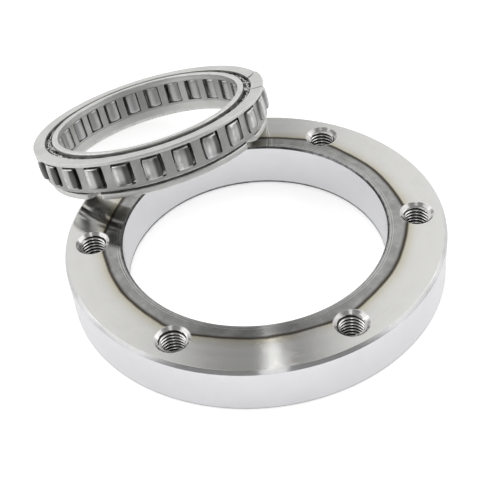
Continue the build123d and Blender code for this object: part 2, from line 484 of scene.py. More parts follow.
def lathe(patches: Patchwork, placement: Placement, profile: Array, wear_and_painted_light_mask: Array, angles: Array,
          bend: Bend | None = None, finish: int = 0, reach: float = 0.04) -> None:
    """Add a profile carried round the placement's axis: (r cos a, r sin a, z).

    Args:
        patches: The patchwork that takes the grid.
        placement: The frame of the ring.
        profile: (radius, height) points.
        wear_and_painted_light_mask: The edge mask along the profile.
        angles: The angles of the copies, the last closing the loop if it is a full turn on.
        bend: Changes radius, angle and height, and also returns how much painted shade each point gets; or
            None.
        finish: Number of the piece's finish that the faces take.
        reach: Radius at which the UV map has its true length round the axis.
    """
    radius = np.broadcast_to(profile[:, 0][:, None], (len(profile), len(angles)))
    height = np.broadcast_to(profile[:, 1][:, None], radius.shape)
    angle = np.broadcast_to(angles[None, :], radius.shape)
    uv = np.stack([angle * reach, np.broadcast_to(run_length(profile)[:, None], radius.shape)], axis=-1)
    mask = np.broadcast_to(wear_and_painted_light_mask[:, None], radius.shape)
    if bend is not None:
        radius, angle, height, shade_share = bend(radius, angle, height)
        # Where the bend gives a share, the mask turns to painted shade.
        mask = mask * (1 - shade_share) - shade_share
    patches.add(placement.polar(radius, angle, height), uv, mask, finish)


# Shader building

Socket = bpy.types.NodeSocket
Value = Socket | float
Colour = tuple[float, float, float]


class Wiring:
    """A node tree with short ways to add and join nodes."""

    def __init__(self, tree: bpy.types.NodeTree) -> None:
        """Work on this tree."""
        self.tree = tree

    def node(self, kind: str, **settings: object) -> bpy.types.Node:
        """Add a node.

        Args:
            kind: The node's type.
            settings: Properties to set on it.

        Returns:
            The node.
        """
        made = self.tree.nodes.new(kind)
        for name, value in settings.items():
            setattr(made, name, value)
        return made

    def feed(self, socket: Socket, value: object) -> None:
        """Link a socket to another one, or set its own value.

        Args:
            socket: The input.
            value: An output to link, or a number, vector or colour.
        """
        if isinstance(value, bpy.types.NodeSocket):
            self.tree.links.new(value, socket)
        elif isinstance(value, tuple) and socket.type == "RGBA":
            socket.default_value = (*value, 1.0)
        else:
            socket.default_value = value

    def math(self, operation: str, *values: Value, clamp: bool = False) -> Socket:
        """The result of a Math node.

        Args:
            operation: What it works out.
            values: Its inputs.
            clamp: Whether the result is kept between 0 and 1.

        Returns:
            Its output.
        """
        made = self.node("ShaderNodeMath", operation=operation, use_clamp=clamp)
        for socket, value in zip(made.inputs, values):
            self.feed(socket, value)
        return made.outputs[0]

    def times(self, first: Value, second: Value) -> Socket:
        """The product of two values."""
        return self.math("MULTIPLY", first, second)

    def plus(self, first: Value, second: Value, clamp: bool = False) -> Socket:
        """The sum of two values, kept between 0 and 1 if clamped."""
        return self.math("ADD", first, second, clamp=clamp)

    def minus(self, first: Value, second: Value, clamp: bool = False) -> Socket:
        """The first value less the second, kept between 0 and 1 if clamped."""
        return self.math("SUBTRACT", first, second, clamp=clamp)

    def rest(self, value: Value) -> Socket:
        """What a value lacks to 1."""
        return self.math("SUBTRACT", 1.0, value)

    def vector(self, operation: str, *values: object, out: int = 0) -> Socket:
        """The result of a Vector Math node.

        Args:
            operation: What it works out.
            values: Its inputs.
            out: Which output is wanted: 0 for a vector, 1 for a number.

        Returns:
            The output.
        """
        made = self.node("ShaderNodeVectorMath", operation=operation)
        for socket, value in zip(made.inputs, values):
            self.feed(socket, value)
        return made.outputs[out]

    def step(self, value: Value, low: float, high: float) -> Socket:
        """A smooth step.

        Args:
            value: What is tested.
            low: Where the step starts, at 0.
            high: Where it ends, at 1.

        Returns:
            The height of the step.
        """
        made = self.node("ShaderNodeMapRange", interpolation_type="SMOOTHSTEP")
        for socket, given in zip(made.inputs, (value, low, high, 0.0, 1.0)):
            self.feed(socket, given)
        return made.outputs[0]

    def mix(self, share: Value, first: object, second: object, blend: str = "MIX") -> Socket:
        """A mix of two colours.

        Args:
            share: How much of the second is in it.
            first: A colour.
            second: A colour.
            blend: How they are blended.

        Returns:
            The mixed colour.
        """
        made = self.node("ShaderNodeMix", data_type="RGBA", blend_type=blend)
        self.feed(made.inputs[0], share)
        self.feed(made.inputs[6], first)
        self.feed(made.inputs[7], second)
        return made.outputs[2]

    def noise(self, place: Socket, scale: Value, detail: float = 2.0, rough: float = 0.5) -> Socket:
        """Noise at a place.

        Args:
            place: The place.
            scale: Features to the metre.
            detail: How many finer layers are added.
            rough: How strong they are.

        Returns:
            The noise, from 0 to 1.
        """
        made = self.node("ShaderNodeTexNoise", noise_dimensions="3D")
        self.feed(made.inputs["Vector"], place)
        self.feed(made.inputs["Scale"], scale)
        self.feed(made.inputs["Detail"], detail)
        self.feed(made.inputs["Roughness"], rough)
        return made.outputs["Fac"]

    def combine(self, x: Value, y: Value, z: Value) -> Socket:
        """A vector from its three parts.

        Args:
            x: Its first part.
            y: Its second part.
            z: Its third part.

        Returns:
            The vector.
        """
        made = self.node("ShaderNodeCombineXYZ")
        for socket, value in zip(made.inputs, (x, y, z)):
            self.feed(socket, value)
        return made.outputs[0]

    def split(self, vector: Socket) -> tuple[Socket, ...]:
        """The three parts of a vector.

        Args:
            vector: The vector.

        Returns:
            Its x, y and z.
        """
        made = self.node("ShaderNodeSeparateXYZ")
        self.feed(made.inputs[0], vector)
        return tuple(made.outputs)

    def use(self, group: bpy.types.NodeTree, **values: object) -> bpy.types.Node:
        """Place a node group.

        Args:
            group: The group.
            values: Its inputs, with underscores for the spaces in their names.

        Returns:
            The group's node.
        """
        made = self.node("ShaderNodeGroup")
        made.node_tree = group
        for name, value in values.items():
            self.feed(made.inputs[name.replace("_", " ")], value)
        return made


class EffectGroup:
    """A shader node group that is built once and shared by the materials."""

    def __init__(self, name: str, inputs: dict[str, tuple[str, object]], outputs: dict[str, str]) -> None:
        """Make the group and its sockets.

        Args:
            name: The group's name.
            inputs: Socket type and default for each named input.
            outputs: Socket type for each named output.
        """
        self.tree = bpy.data.node_groups.new(name, "ShaderNodeTree")
        for title, (kind, default) in inputs.items():
            socket = self.tree.interface.new_socket(title, in_out="INPUT", socket_type=kind)
            if default is not None:
                socket.default_value = default
        for title, kind in outputs.items():
            self.tree.interface.new_socket(title, in_out="OUTPUT", socket_type=kind)
        self.wires = Wiring(self.tree)
        self.source = self.wires.node("NodeGroupInput")
        self.sink = self.wires.node("NodeGroupOutput")

    def give(self, title: str, value: Socket) -> None:
        """Join a result to one of the group's outputs."""
        self.wires.feed(self.sink.inputs[title], value)

    def take(self, title: str) -> Socket:
        """One of the group's inputs, seen from inside."""
        return self.source.outputs[title]

    def ring_place(self) -> tuple[Socket, ...]:
        """The input named Place, taken apart for patterns round the Z axis.

        Returns:
            Its x and y, the place without its height, and in mm its distance from the axis and
            its height.
        """
        x, y, z = self.wires.split(self.take("Place"))
        flat = self.wires.combine(x, y, 0.0)
        radius = self.wires.times(self.wires.vector("LENGTH", flat, out=1), 1000.0)
        return x, y, flat, radius, self.wires.times(z, 1000.0)


def turned_marks() -> bpy.types.NodeTree:
    """Fine concentric marks that a lathe or grinder leaves, and broad bands of more or less polish.

    The marks are noise over (radius, height) with a slow drift round the axis.

    Returns:
        The group: Marks is the fine relief, Bands the slow change, both from 0 to 1.
    """
    group = EffectGroup("turned_marks", {
        "Place": ("NodeSocketVector", None),
        "Marks per mm": ("NodeSocketFloat", 7.0),
    }, {"Marks": "NodeSocketFloat", "Bands": "NodeSocketFloat"})
    wires = group.wires
    _, _, flat, radius, height = group.ring_place()
    drift = wires.noise(flat, 25.0, 1.0)
    across = wires.plus(radius, wires.times(drift, 0.15))
    often = group.take("Marks per mm")
    line = wires.combine(wires.times(across, often), wires.times(height, often), 0.37)
    group.give("Marks", wires.noise(line, 1.0, 3.0, 0.6))
    slow = wires.combine(wires.times(across, 0.55), wires.times(height, 0.55), 3.0)
    group.give("Bands", wires.noise(slow, 1.0, 2.0))
    return group.tree


def metal_grain() -> bpy.types.NodeTree:
    """The grain of tumbled or rolled metal: tiny pits, soft smears and a faint stain.

    Returns:
        The group: Pits and Smears from 0 to 1, each noise at its own scale.
    """
    group = EffectGroup("metal_grain", {
        "Place": ("NodeSocketVector", None),
        "Pits to the metre": ("NodeSocketFloat", 3500.0),
    }, {"Pits": "NodeSocketFloat", "Smears": "NodeSocketFloat"})
    wires = group.wires
    group.give("Pits", wires.noise(group.take("Place"), group.take("Pits to the metre"), 3.0))
    group.give("Smears", wires.noise(group.take("Place"), 140.0, 4.0, 0.62))
    return group.tree


def wear_and_painted_light() -> bpy.types.NodeTree:
    """Brightens edges from wear and painted highlights, and paints shade, from the edge attribute and noise.

    The attribute is 1 on edges bright from wear and on painted highlights, 0 on a plain face and -1 where
    shade is painted.

    Returns:
        The group: Colour is the changed colour, and the second output the mask of the edges bright from wear
            and the painted highlights.
    """
    group = EffectGroup("wear_and_painted_light", {
        "Colour": ("NodeSocketColor", (0.6, 0.6, 0.6, 1.0)),
        "Highlight and wear colour": ("NodeSocketColor", (0.85, 0.85, 0.84, 1.0)),
        "Painted shade colour": ("NodeSocketColor", (0.03, 0.028, 0.025, 1.0)),
        "Place": ("NodeSocketVector", None),
        "Rub": ("NodeSocketFloat", 0.5),
    }, {"Colour": "NodeSocketColor", "Highlight and wear": "NodeSocketFloat"})
    wires = group.wires
    wear_and_painted_light_mask = wires.node("ShaderNodeAttribute", attribute_name="edge").outputs["Fac"]
    patchy = wires.step(wires.noise(group.take("Place"), 500.0, 3.0), 0.3, 0.6)
    # Positive edge values brighten edges from wear and painted highlights; negative ones mix in near-black
    # painted shade.
    highlight_and_wear = wires.times(wires.step(wear_and_painted_light_mask, 0.35, 0.9), wires.times(patchy, group.take("Rub")))
    painted_shade = wires.step(wires.times(wear_and_painted_light_mask, -1.0), 0.05, 0.6)
    bright = wires.mix(highlight_and_wear, group.take("Colour"), group.take("Highlight and wear colour"))
    group.give("Colour", wires.mix(painted_shade, bright, group.take("Painted shade colour")))
    group.give("Highlight and wear", highlight_and_wear)
    return group.tree


EDGE_POLISH = 0.08


class Effects:
    """The shared node groups."""

    def __init__(self) -> None:
        """Build each group once."""
        self.turned = turned_marks()
        self.grain = metal_grain()
        self.edges = wear_and_painted_light()


def bare_metal(name: str) -> tuple[bpy.types.Material, Wiring, bpy.types.Node, Socket]:
    """Start a material of bare metal.

    Args:
        name: Its name.

    Returns:
        The material, its wiring, its shader and the place on the piece.
    """
    made = bpy.data.materials.new(name)
    made.use_nodes = True
    wires = Wiring(made.node_tree)
    shader = made.node_tree.nodes["Principled BSDF"]
    shader.inputs["Metallic"].default_value = 1.0
    return made, wires, shader, wires.node("ShaderNodeTexCoord").outputs["Object"]


def add_relief(wires: Wiring, shader: bpy.types.Node, height: Socket, distance: float) -> None:
    """Give a shader a fine relief.

    Args:
        wires: The material's wiring.
        shader: Its shader.
        height: The relief, from 0 to 1.
        distance: How high 1 stands, in metres.
    """
    bump = wires.node("ShaderNodeBump")
    bump.inputs["Strength"].default_value = 1.0
    bump.inputs["Distance"].default_value = distance
    wires.feed(bump.inputs["Height"], height)
    wires.feed(shader.inputs["Normal"], bump.outputs[0])


@dataclass(frozen=True)
class MetalFinish:
    """A bare metal finish.

    Attributes:
        name: The material's name.
        colour: Base colour.
        rough: Roughness of a plain face.
        rough_spread: How far the smears change the roughness.
        pits: Pits to the metre.
        relief: Height of the pits in metres.
        wear_and_highlight: How bright the edges from wear and the painted highlights are, from 0 to 1.
        stain: How far the smears darken the colour.
    """

    name: str
    colour: Colour
    rough: float
    rough_spread: float
    pits: float
    relief: float
    wear_and_highlight: float
    stain: float

    def material(self, effects: Effects) -> bpy.types.Material:
        """Build the material.

        Args:
            effects: The shared node groups.

        Returns:
            The finished material.
        """
        made, wires, shader, place = bare_metal(self.name)
        grain = wires.use(effects.grain, Place=place, Pits_to_the_metre=self.pits)
        smears = wires.step(grain.outputs["Smears"], 0.35, 0.7)
        dark = tuple(part * (1 - self.stain) for part in self.colour)
        plain = wires.mix(smears, self.colour, dark)
        # The edge group brightens edges from wear and painted highlights, and paints shade where the edge
        # attribute is negative.
        edges = wires.use(effects.edges, Colour=plain, Place=place, Rub=self.wear_and_highlight)
        wires.feed(shader.inputs["Base Color"], edges.outputs["Colour"])
        rough = wires.plus(wires.times(smears, self.rough_spread), self.rough)
        rough = wires.minus(rough, wires.times(edges.outputs["Highlight and wear"], EDGE_POLISH), clamp=True)
        wires.feed(shader.inputs["Roughness"], rough)
        add_relief(wires, shader, grain.outputs["Pits"], self.relief)
        return made


class Metal(Enum):
    """The plain metal finishes of the pieces."""

    # The cages' walls and rims are one steel: the rims take a lighter copy as painted light, the walls darker
    # copies as painted shade.
    CAGE_PAINTED_SHADE = MetalFinish("cage_steel", (0.50, 0.50, 0.485), 0.32, 0.08, 3800.0, 2.2e-6, 0.6, 0.12)
    WALL_PAINTED_SHADE = MetalFinish("wall_steel_painted_shade", (0.42, 0.42, 0.41), 0.32, 0.08, 3800.0, 2.2e-6, 0.6, 0.14)
    RIM_PAINTED_LIGHT = MetalFinish("rim_steel_painted_light", (0.66, 0.66, 0.64), 0.34, 0.06, 3800.0, 2.2e-6, 0.5, 0.07)
    SPRAG = MetalFinish("sprag_steel", (0.53, 0.53, 0.525), 0.30, 0.05, 2600.0, 6e-7, 0.8, 0.08)
    SPRING = MetalFinish("spring_steel", (0.66, 0.66, 0.65), 0.18, 0.12, 3000.0, 2e-6, 0.6, 0.25)
    THREAD = MetalFinish("thread_steel", (0.72, 0.71, 0.70), 0.20, 0.08, 2600.0, 8e-7, 1.0, 0.25)


@dataclass(frozen=True)
class RaceFinish:
    """Turned and ground bearing steel whose bore was induction hardened.

    Heat has left a grey band round the bore on the face, ended by a dark line, with straw colour
    outside it. The line stands further out where it passes a tapped hole.

    Radii and heights are in mm here, because the patterns are worked out in mm.

    Attributes:
        name: The material's name.
        steel: Colour of the plain steel on the faces.
        wall: Colour of the bore and the outside.
        smear: Colour that the steel's smears lean to.
        band: Colour of the hardened band.
        line: Colour of the band's outline.
        straw: Colour of the heat tint outside it.
        ring: Colour of the tool's rings near the bore.
        bore_edge_shade: Colour of the painted shade on the bore's edges and at the foot of the bore wall.
        chamfer_shade: Colour of the painted shade that the rim's chamfered edge leans to.
        band_radius: Radius of the outline between two holes.
        bulge: How much further out it stands at a hole.
        bulge_width: Angle over which it falls back beside the hole.
        ragged: How far it strays.
        holes: Number of holes.
        first_hole: Angle of the first one.
        top: Height of the race.
        bore: Radius of its bore.
        rim: Radius of its rim.
        rings: How far from the bore each of the tool's rings lies, and half its width.
        rough: Least roughness.
        relief: Height of the turned marks in metres.
    """

    name: str = "race_steel"
    steel: Colour = (0.79, 0.785, 0.76)
    wall: Colour = (0.82, 0.82, 0.84)
    smear: Colour = (0.55, 0.55, 0.55)
    band: Colour = (0.46, 0.46, 0.45)
    line: Colour = (0.060, 0.050, 0.038)
    straw: Colour = (0.56, 0.51, 0.36)
    ring: Colour = (0.80, 0.80, 0.79)
    # Painted shade on the bore's edges and the foot of its wall.
    bore_edge_shade: Colour = (0.10, 0.10, 0.105)
    # Painted shade on the rim's chamfered edge.
    chamfer_shade: Colour = (0.50, 0.50, 0.505)
    band_radius: float = 47.1
    bulge: float = 1.1
    bulge_width: float = 0.15
    ragged: float = 0.55
    holes: int = 6
    first_hole: float = math.radians(28.5)
    top: float = 15.8
    bore: float = 41.7
    rim: float = 60.0
    rings: tuple[tuple[float, float], ...] = ((1.05, 0.11), (1.75, 0.08))
    rough: float = 0.11
    relief: float = 8e-6

    def zones(self) -> bpy.types.NodeTree:
        """The masks of the heat pattern and of the painted shade, from the place on the race.

        With a the angle from the nearest hole's radial line, the outline's radius is
        band_radius + bulge * exp(-(a / bulge_width)^2), plus a little noise.

        Returns:
            The group. Its masks run from 0 to 1: Band inside the outline, Line along it, Straw on
            both sides of it, Rings of the tool near the bore, Break on the bore's edges and the foot of its
            wall and Chamfer on the rim's, both for painted shade, and Wall off the two faces. Around is
            the place, scaled for the streaks.
        """
        masks = ("Band", "Line", "Straw", "Break", "Chamfer", "Wall", "Rings")
        group = EffectGroup("heat_zones", {"Place": ("NodeSocketVector", None)},
                            {**dict.fromkeys(masks, "NodeSocketFloat"), "Around": "NodeSocketVector"})
        wires = group.wires
        x, y, flat, radius, height = group.ring_place()
        half = self.top / 2
        from_middle = wires.math("ABSOLUTE", wires.minus(height, half))
        on_face = wires.step(from_middle, half - 0.35, half - 0.12)
        # The outline, and how far beyond it a point lies.
        angle = wires.math("ARCTAN2", y, x)
        pitch = 2 * math.pi / self.holes
        turned = wires.plus(wires.minus(angle, self.first_hole), pitch / 2)
        near = wires.minus(wires.math("FLOORED_MODULO", turned, pitch), pitch / 2)
        share = wires.math("DIVIDE", near, self.bulge_width)
        square = wires.math("POWER", wires.math("ABSOLUTE", share), 2.0)
        swell = wires.times(wires.math("EXPONENT", wires.times(square, -1.0)), self.bulge)
        ragged = wires.times(wires.minus(wires.noise(flat, 160.0, 2.0), 0.5), self.ragged)
        outline = wires.plus(wires.plus(swell, self.band_radius), ragged)
        beyond = wires.minus(radius, outline)
        # Band, line and straw tint.
        band = wires.rest(wires.step(beyond, -0.1, 0.25))
        rise = wires.math("POWER", wires.step(beyond, -1.6, -0.05), 2.0)
        fall = wires.rest(wires.step(beyond, 0.0, 0.85))
        strength = wires.plus(0.75, wires.times(wires.noise(flat, 60.0, 2.0), 0.5), clamp=True)
        line = wires.times(wires.times(rise, fall), strength)
        tint = wires.math("POWER", wires.rest(wires.step(beyond, -1.5, 5.0)), 1.3)
        patchy = wires.step(wires.noise(flat, 45.0, 2.0), 0.1, 0.55)
        # Painted shade on the bore's edges and the foot of its wall, then rings and walls.
        near_bore = wires.rest(wires.step(radius, self.bore + 0.5, self.bore + 0.7))
        edges = wires.times(wires.step(from_middle, half - 0.66, half - 0.5), near_bore)
        foot = wires.times(wires.rest(wires.step(height, 1.0, 1.45)), near_bore)
        group.give("Break", wires.math("MAXIMUM", edges, foot))
        rings = [wires.math("COMPARE", radius, self.bore + at, wide) for at, wide in self.rings]
        for title, mask in (("Band", band), ("Line", line), ("Straw", wires.times(tint, patchy)),
                            ("Rings", wires.plus(*rings))):
            group.give(title, wires.times(mask, on_face))
        # The rim's chamfered edge, which gets painted shade.
        cut = [wires.step(place, edge - 1.05, edge - 0.97)
               for place, edge in ((from_middle, half), (radius, self.rim))]
        group.give("Chamfer", wires.times(*cut))
        group.give("Wall", wires.rest(on_face))
        group.give("Around", wires.vector("MULTIPLY", group.take("Place"), (220.0, 220.0, 220.0)))
        return group.tree

    def material(self, effects: Effects) -> bpy.types.Material:
        """Build the material.

        Args:
            effects: The shared node groups.

        Returns:
            The finished material.
        """
        made, wires, shader, place = bare_metal(self.name)
        zones = wires.use(self.zones(), Place=place)
        turned = wires.use(effects.turned, Place=place, Marks_per_mm=7.0)
        grain = wires.use(effects.grain, Place=place, Pits_to_the_metre=4200.0)
        out = zones.outputs
        smears = wires.step(grain.outputs["Smears"], 0.38, 0.68)
        plain = wires.mix(out["Wall"], self.steel, self.wall)
        streaks = wires.noise(out["Around"], 1.0, 5.0, 0.65)
        band = wires.mix(wires.step(streaks, 0.32, 0.66), self.band, tuple(part * 0.72 for part in self.band))
        colour = wires.mix(wires.times(smears, 0.08), plain, self.smear)
        # Break and Chamfer mix in painted shade: dark on the bore's edges and foot, grey on the rim's
        # chamfered edge.
        for title, share, over in (("Straw", 1.0, self.straw), ("Band", 1.0, band), ("Rings", 0.6, self.ring),
                                   ("Line", 1.0, self.line), ("Break", 1.0, self.bore_edge_shade),
                                   ("Chamfer", 0.6, self.chamfer_shade)):
            colour = wires.mix(wires.times(out[title], share), colour, over)
        edges = wires.use(effects.edges, Colour=colour, Place=place, Rub=0.8)
        wires.feed(shader.inputs["Base Color"], edges.outputs["Colour"])
        rough: Value = self.rough
        for mask, more in ((turned.outputs["Bands"], 0.04), (out["Line"], 0.15), (out["Chamfer"], 0.08)):
            rough = wires.plus(rough, wires.times(mask, more))
        wires.feed(shader.inputs["Roughness"], rough)
        shader.inputs["Anisotropic"].default_value = 1.0
        shader.inputs["Anisotropic Rotation"].default_value = 0.25
        tangent = wires.node("ShaderNodeTangent", direction_type="RADIAL", axis="Z")
        wires.feed(shader.inputs["Tangent"], tangent.outputs[0])
        relief = wires.plus(turned.outputs["Marks"], wires.times(grain.outputs["Pits"], 0.3))
        add_relief(wires, shader, relief, self.relief)
        return made


# The race

# Where a face's rows lie between a hole's mouth and the sector's border, how much of the face is
# left to the chamfers' profiles, and how near a face a height still counts as on it.
FACE_SHARES = (0.0, 0.03, 0.1, 0.25, 0.45, 0.7, 1.0)
LAND = 0.2 * MM
LEVEL_PLAY = 1e-6


@dataclass
class OuterRace:
    """The turned outer race with its six tapped holes.

    Attributes:
        bore: Bore radius.
        rim: Outer radius.
        height: Height.
        rim_chamfer: Chamfer of the top outer edge.
        foot_chamfer: Chamfer of the bottom outer edge.
        bore_chamfer: Chamfer of the bore's edges.
        circle: Radius of the bolt circle.
        count: Number of holes.
        start: Angle of the first hole.
        mouth: Radius of a countersink at the top face.
        foot: Radius of a hole's opening in the bottom face.
        minor: Radius of the thread's crests.
        major: Radius of the thread's roots.
        lead: Pitch of the thread.
        flank: Steepness of the thread's flanks.
        crest: How flat its crests are.
        crisp: Radius of the rounding of the race's edges.
        side_steps: Points along a quarter of a hole's mouth.
        rows_per_lead: Rows of points to each turn of the thread.
    """

    bore: float = 41.7 * MM
    rim: float = 60.0 * MM
    height: float = 15.8 * MM
    rim_chamfer: float = 1.0 * MM
    foot_chamfer: float = 0.5 * MM
    bore_chamfer: float = 0.6 * MM
    circle: float = 51.3 * MM
    count: int = 6
    start: float = math.radians(28.5)
    mouth: float = 5.3 * MM
    foot: float = 4.35 * MM
    minor: float = 3.5 * MM
    major: float = 4.35 * MM
    lead: float = 1.25 * MM
    flank: float = 1.35
    crest: float = 0.17
    crisp: float = 0.12 * MM
    side_steps: int = 20
    rows_per_lead: int = 10

    def hole_angle(self, hole: int) -> float:
        """The angle of a hole's middle."""
        return self.start + hole * 2 * math.pi / self.count

    def face_edges(self, radius_in: float, radius_out: float, hole: int) -> tuple[list[Array], list[Array]]:
        """The borders of one sector of a face, in four sides, and where they meet the hole.

        Args:
            radius_in: Inner radius of the face.
            radius_out: Outer radius.
            hole: Number of the hole.

        Returns:
            Border points and unit directions from the hole's axis, each as four (n, 2) arrays.
        """
        middle = self.hole_angle(hole)
        half = math.pi / self.count
        share = np.linspace(-1, 1, self.side_steps + 1)
        borders: list[Array] = []
        for radius in (radius_out, radius_in):
            angle = middle + share * half * (1 if radius == radius_out else -1)
            borders.append(polar(radius, angle))
        for sign in (1, -1):
            radius = radius_out + (share + 1) / 2 * (radius_in - radius_out)
            if sign < 0:
                radius = radius[::-1]
            borders.append(polar(radius, middle + sign * half))
        rays = [polar(1.0, middle + quarter * math.pi / 2 + share * math.pi / 4) for quarter in (0, 2, 1, 3)]
        return borders, rays

    def add_face(self, patches: Patchwork, level: float, mouth: float, radius_in: float,
                 radius_out: float) -> None:
        """Add a flat face: each sector spreads from its hole's mouth to its border.

        Args:
            patches: The patchwork that takes the grids.
            level: Height of the face.
            mouth: Radius of the holes in it.
            radius_in: Inner radius.
            radius_out: Outer radius.
        """
        shares = np.array(FACE_SHARES)
        for hole in range(self.count):
            centre = polar(self.circle, self.hole_angle(hole))
            for border, rays in zip(*self.face_edges(radius_in, radius_out, hole)):
                lip = centre + mouth * rays
                flat = spread_between(lip, border, shares)
                points = np.concatenate([flat, np.full((*flat.shape[:2], 1), level)], axis=-1)
                wear_and_painted_light_mask = np.broadcast_to(np.where(shares < 0.02, 1.0, 0.0), flat.shape[:2])
                patches.add(points, flat, wear_and_painted_light_mask)

    def add_hole(self, patches: Patchwork, hole: int) -> None:
        """Add the wall of one tapped hole.

        The rows follow the helix: z = lead * (row / rows per lead + angle / full turn), clipped to
        the race's height. The radius is the larger of the thread's, which runs between crest and
        root with the row, and the countersinks', whose cones stand at 45 degrees. The crests get a
        painted highlight and the roots painted shade.

        Args:
            patches: The patchwork that takes the grid.
            hole: Number of the hole.
        """
        middle = self.hole_angle(hole)
        step = math.pi / 2 / self.side_steps
        turn = middle - math.pi / 4 + np.arange(4 * self.side_steps + 1) * step
        rows = np.arange(-self.rows_per_lead, int(self.height / self.lead + 2) * self.rows_per_lead)
        phase = (rows % self.rows_per_lead) / self.rows_per_lead
        wave = np.clip(np.abs(phase - 0.5) * 2 * self.flank - self.crest, 0, 1)
        thread = self.minor + (self.major - self.minor) * wave
        rise = self.lead * (rows[:, None] / self.rows_per_lead + (turn - turn[0])[None, :] / (2 * math.pi))
        level = np.clip(rise, 0, self.height)
        depth = self.height - level
        top_cone = self.mouth - depth - 2.0 * np.maximum(depth - (self.mouth - self.major), 0)
        foot_cone = self.foot - level
        radius = np.maximum(np.maximum(thread[:, None], top_cone), foot_cone)
        x = self.circle * math.cos(middle) + radius * np.cos(turn)[None, :]
        y = self.circle * math.sin(middle) + radius * np.sin(turn)[None, :]
        uv = np.stack([np.broadcast_to(turn * self.major, level.shape), level], axis=-1)
        within = (top_cone < thread[:, None]) & (foot_cone < thread[:, None])
        # Painted highlight on the thread's crests and painted shade in its roots.
        flank = np.broadcast_to(np.clip(1.4 - 4.0 * wave, -1, 1)[:, None], level.shape)
        wear_and_painted_light_mask = np.where(within, flank, 0.0)
        wear_and_painted_light_mask = np.where((level > self.height - LEVEL_PLAY) | (level < LEVEL_PLAY), 1.0, wear_and_painted_light_mask)
        patches.add(np.stack([x, y, level], axis=-1), uv, wear_and_painted_light_mask, 1)

    def build(self, material: bpy.types.Material, threads: bpy.types.Material) -> bpy.types.Object:
        """Build the race as one closed piece.

        Args:
            material: The race's own finish.
            threads: The finish of the tapped holes.

        Returns:
            The finished piece.
        """
        patches = Patchwork()
        land_out = self.rim - self.rim_chamfer - LAND
        land_in = self.bore + self.bore_chamfer + LAND
        self.add_face(patches, self.height, self.mouth, land_in, land_out)
        self.add_face(patches, 0.0, self.foot, land_in, land_out)
        for hole in range(self.count):
            self.add_hole(patches, hole)
        loop = np.arange(self.count * self.side_steps + 1) / (self.count * self.side_steps) * 2 * math.pi
        angles = self.start - math.pi / self.count + loop
        for land, wall, top_cut, foot_cut in ((land_out, self.rim, -self.rim_chamfer, -self.foot_chamfer),
                                              (land_in, self.bore, self.bore_chamfer, self.bore_chamfer)):
            profile, wear_and_painted_light_mask = rounded_profile([
                (land, self.height, 0), (wall + top_cut, self.height, self.crisp),
                (wall, self.height - abs(top_cut), self.crisp), (wall, abs(foot_cut), self.crisp),
                (wall + foot_cut, 0, self.crisp), (land, 0, 0)])
            lathe(patches, Placement(), *densify(profile, wear_and_painted_light_mask, 2.0 * MM), angles)
        piece = patches.piece("race_ring", material, threads, sharp=30.0)
        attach(piece, "race")
        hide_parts("outer_race")
        return piece


# The sprag element


# Where points are added: degrees from the middle of the joint and from the lap, and millimetres from
# a notch's side. They stand closest where the shape is steepest.
JOINT_OFFSETS = (-3.4, -2.6, -1.9, -1.3, -0.9, -0.6, -0.4, -0.25, -0.12, 0.0, 0.12, 0.25, 0.4, 0.6,
                 0.9, 1.1, 1.3, 1.5, 1.7, 1.9, 2.6, 3.4)
LAP_OFFSETS = (-1.4, -0.9, -0.5, -0.25, 0.0, 0.25, 0.5, 0.9, 1.4)
NOTCH_OFFSETS = (-0.75, -0.45, -0.25, -0.1, -0.02, 0.0, 0.04, 0.12, 0.25, 0.42, 0.65, 0.9, 1.15, 1.4)


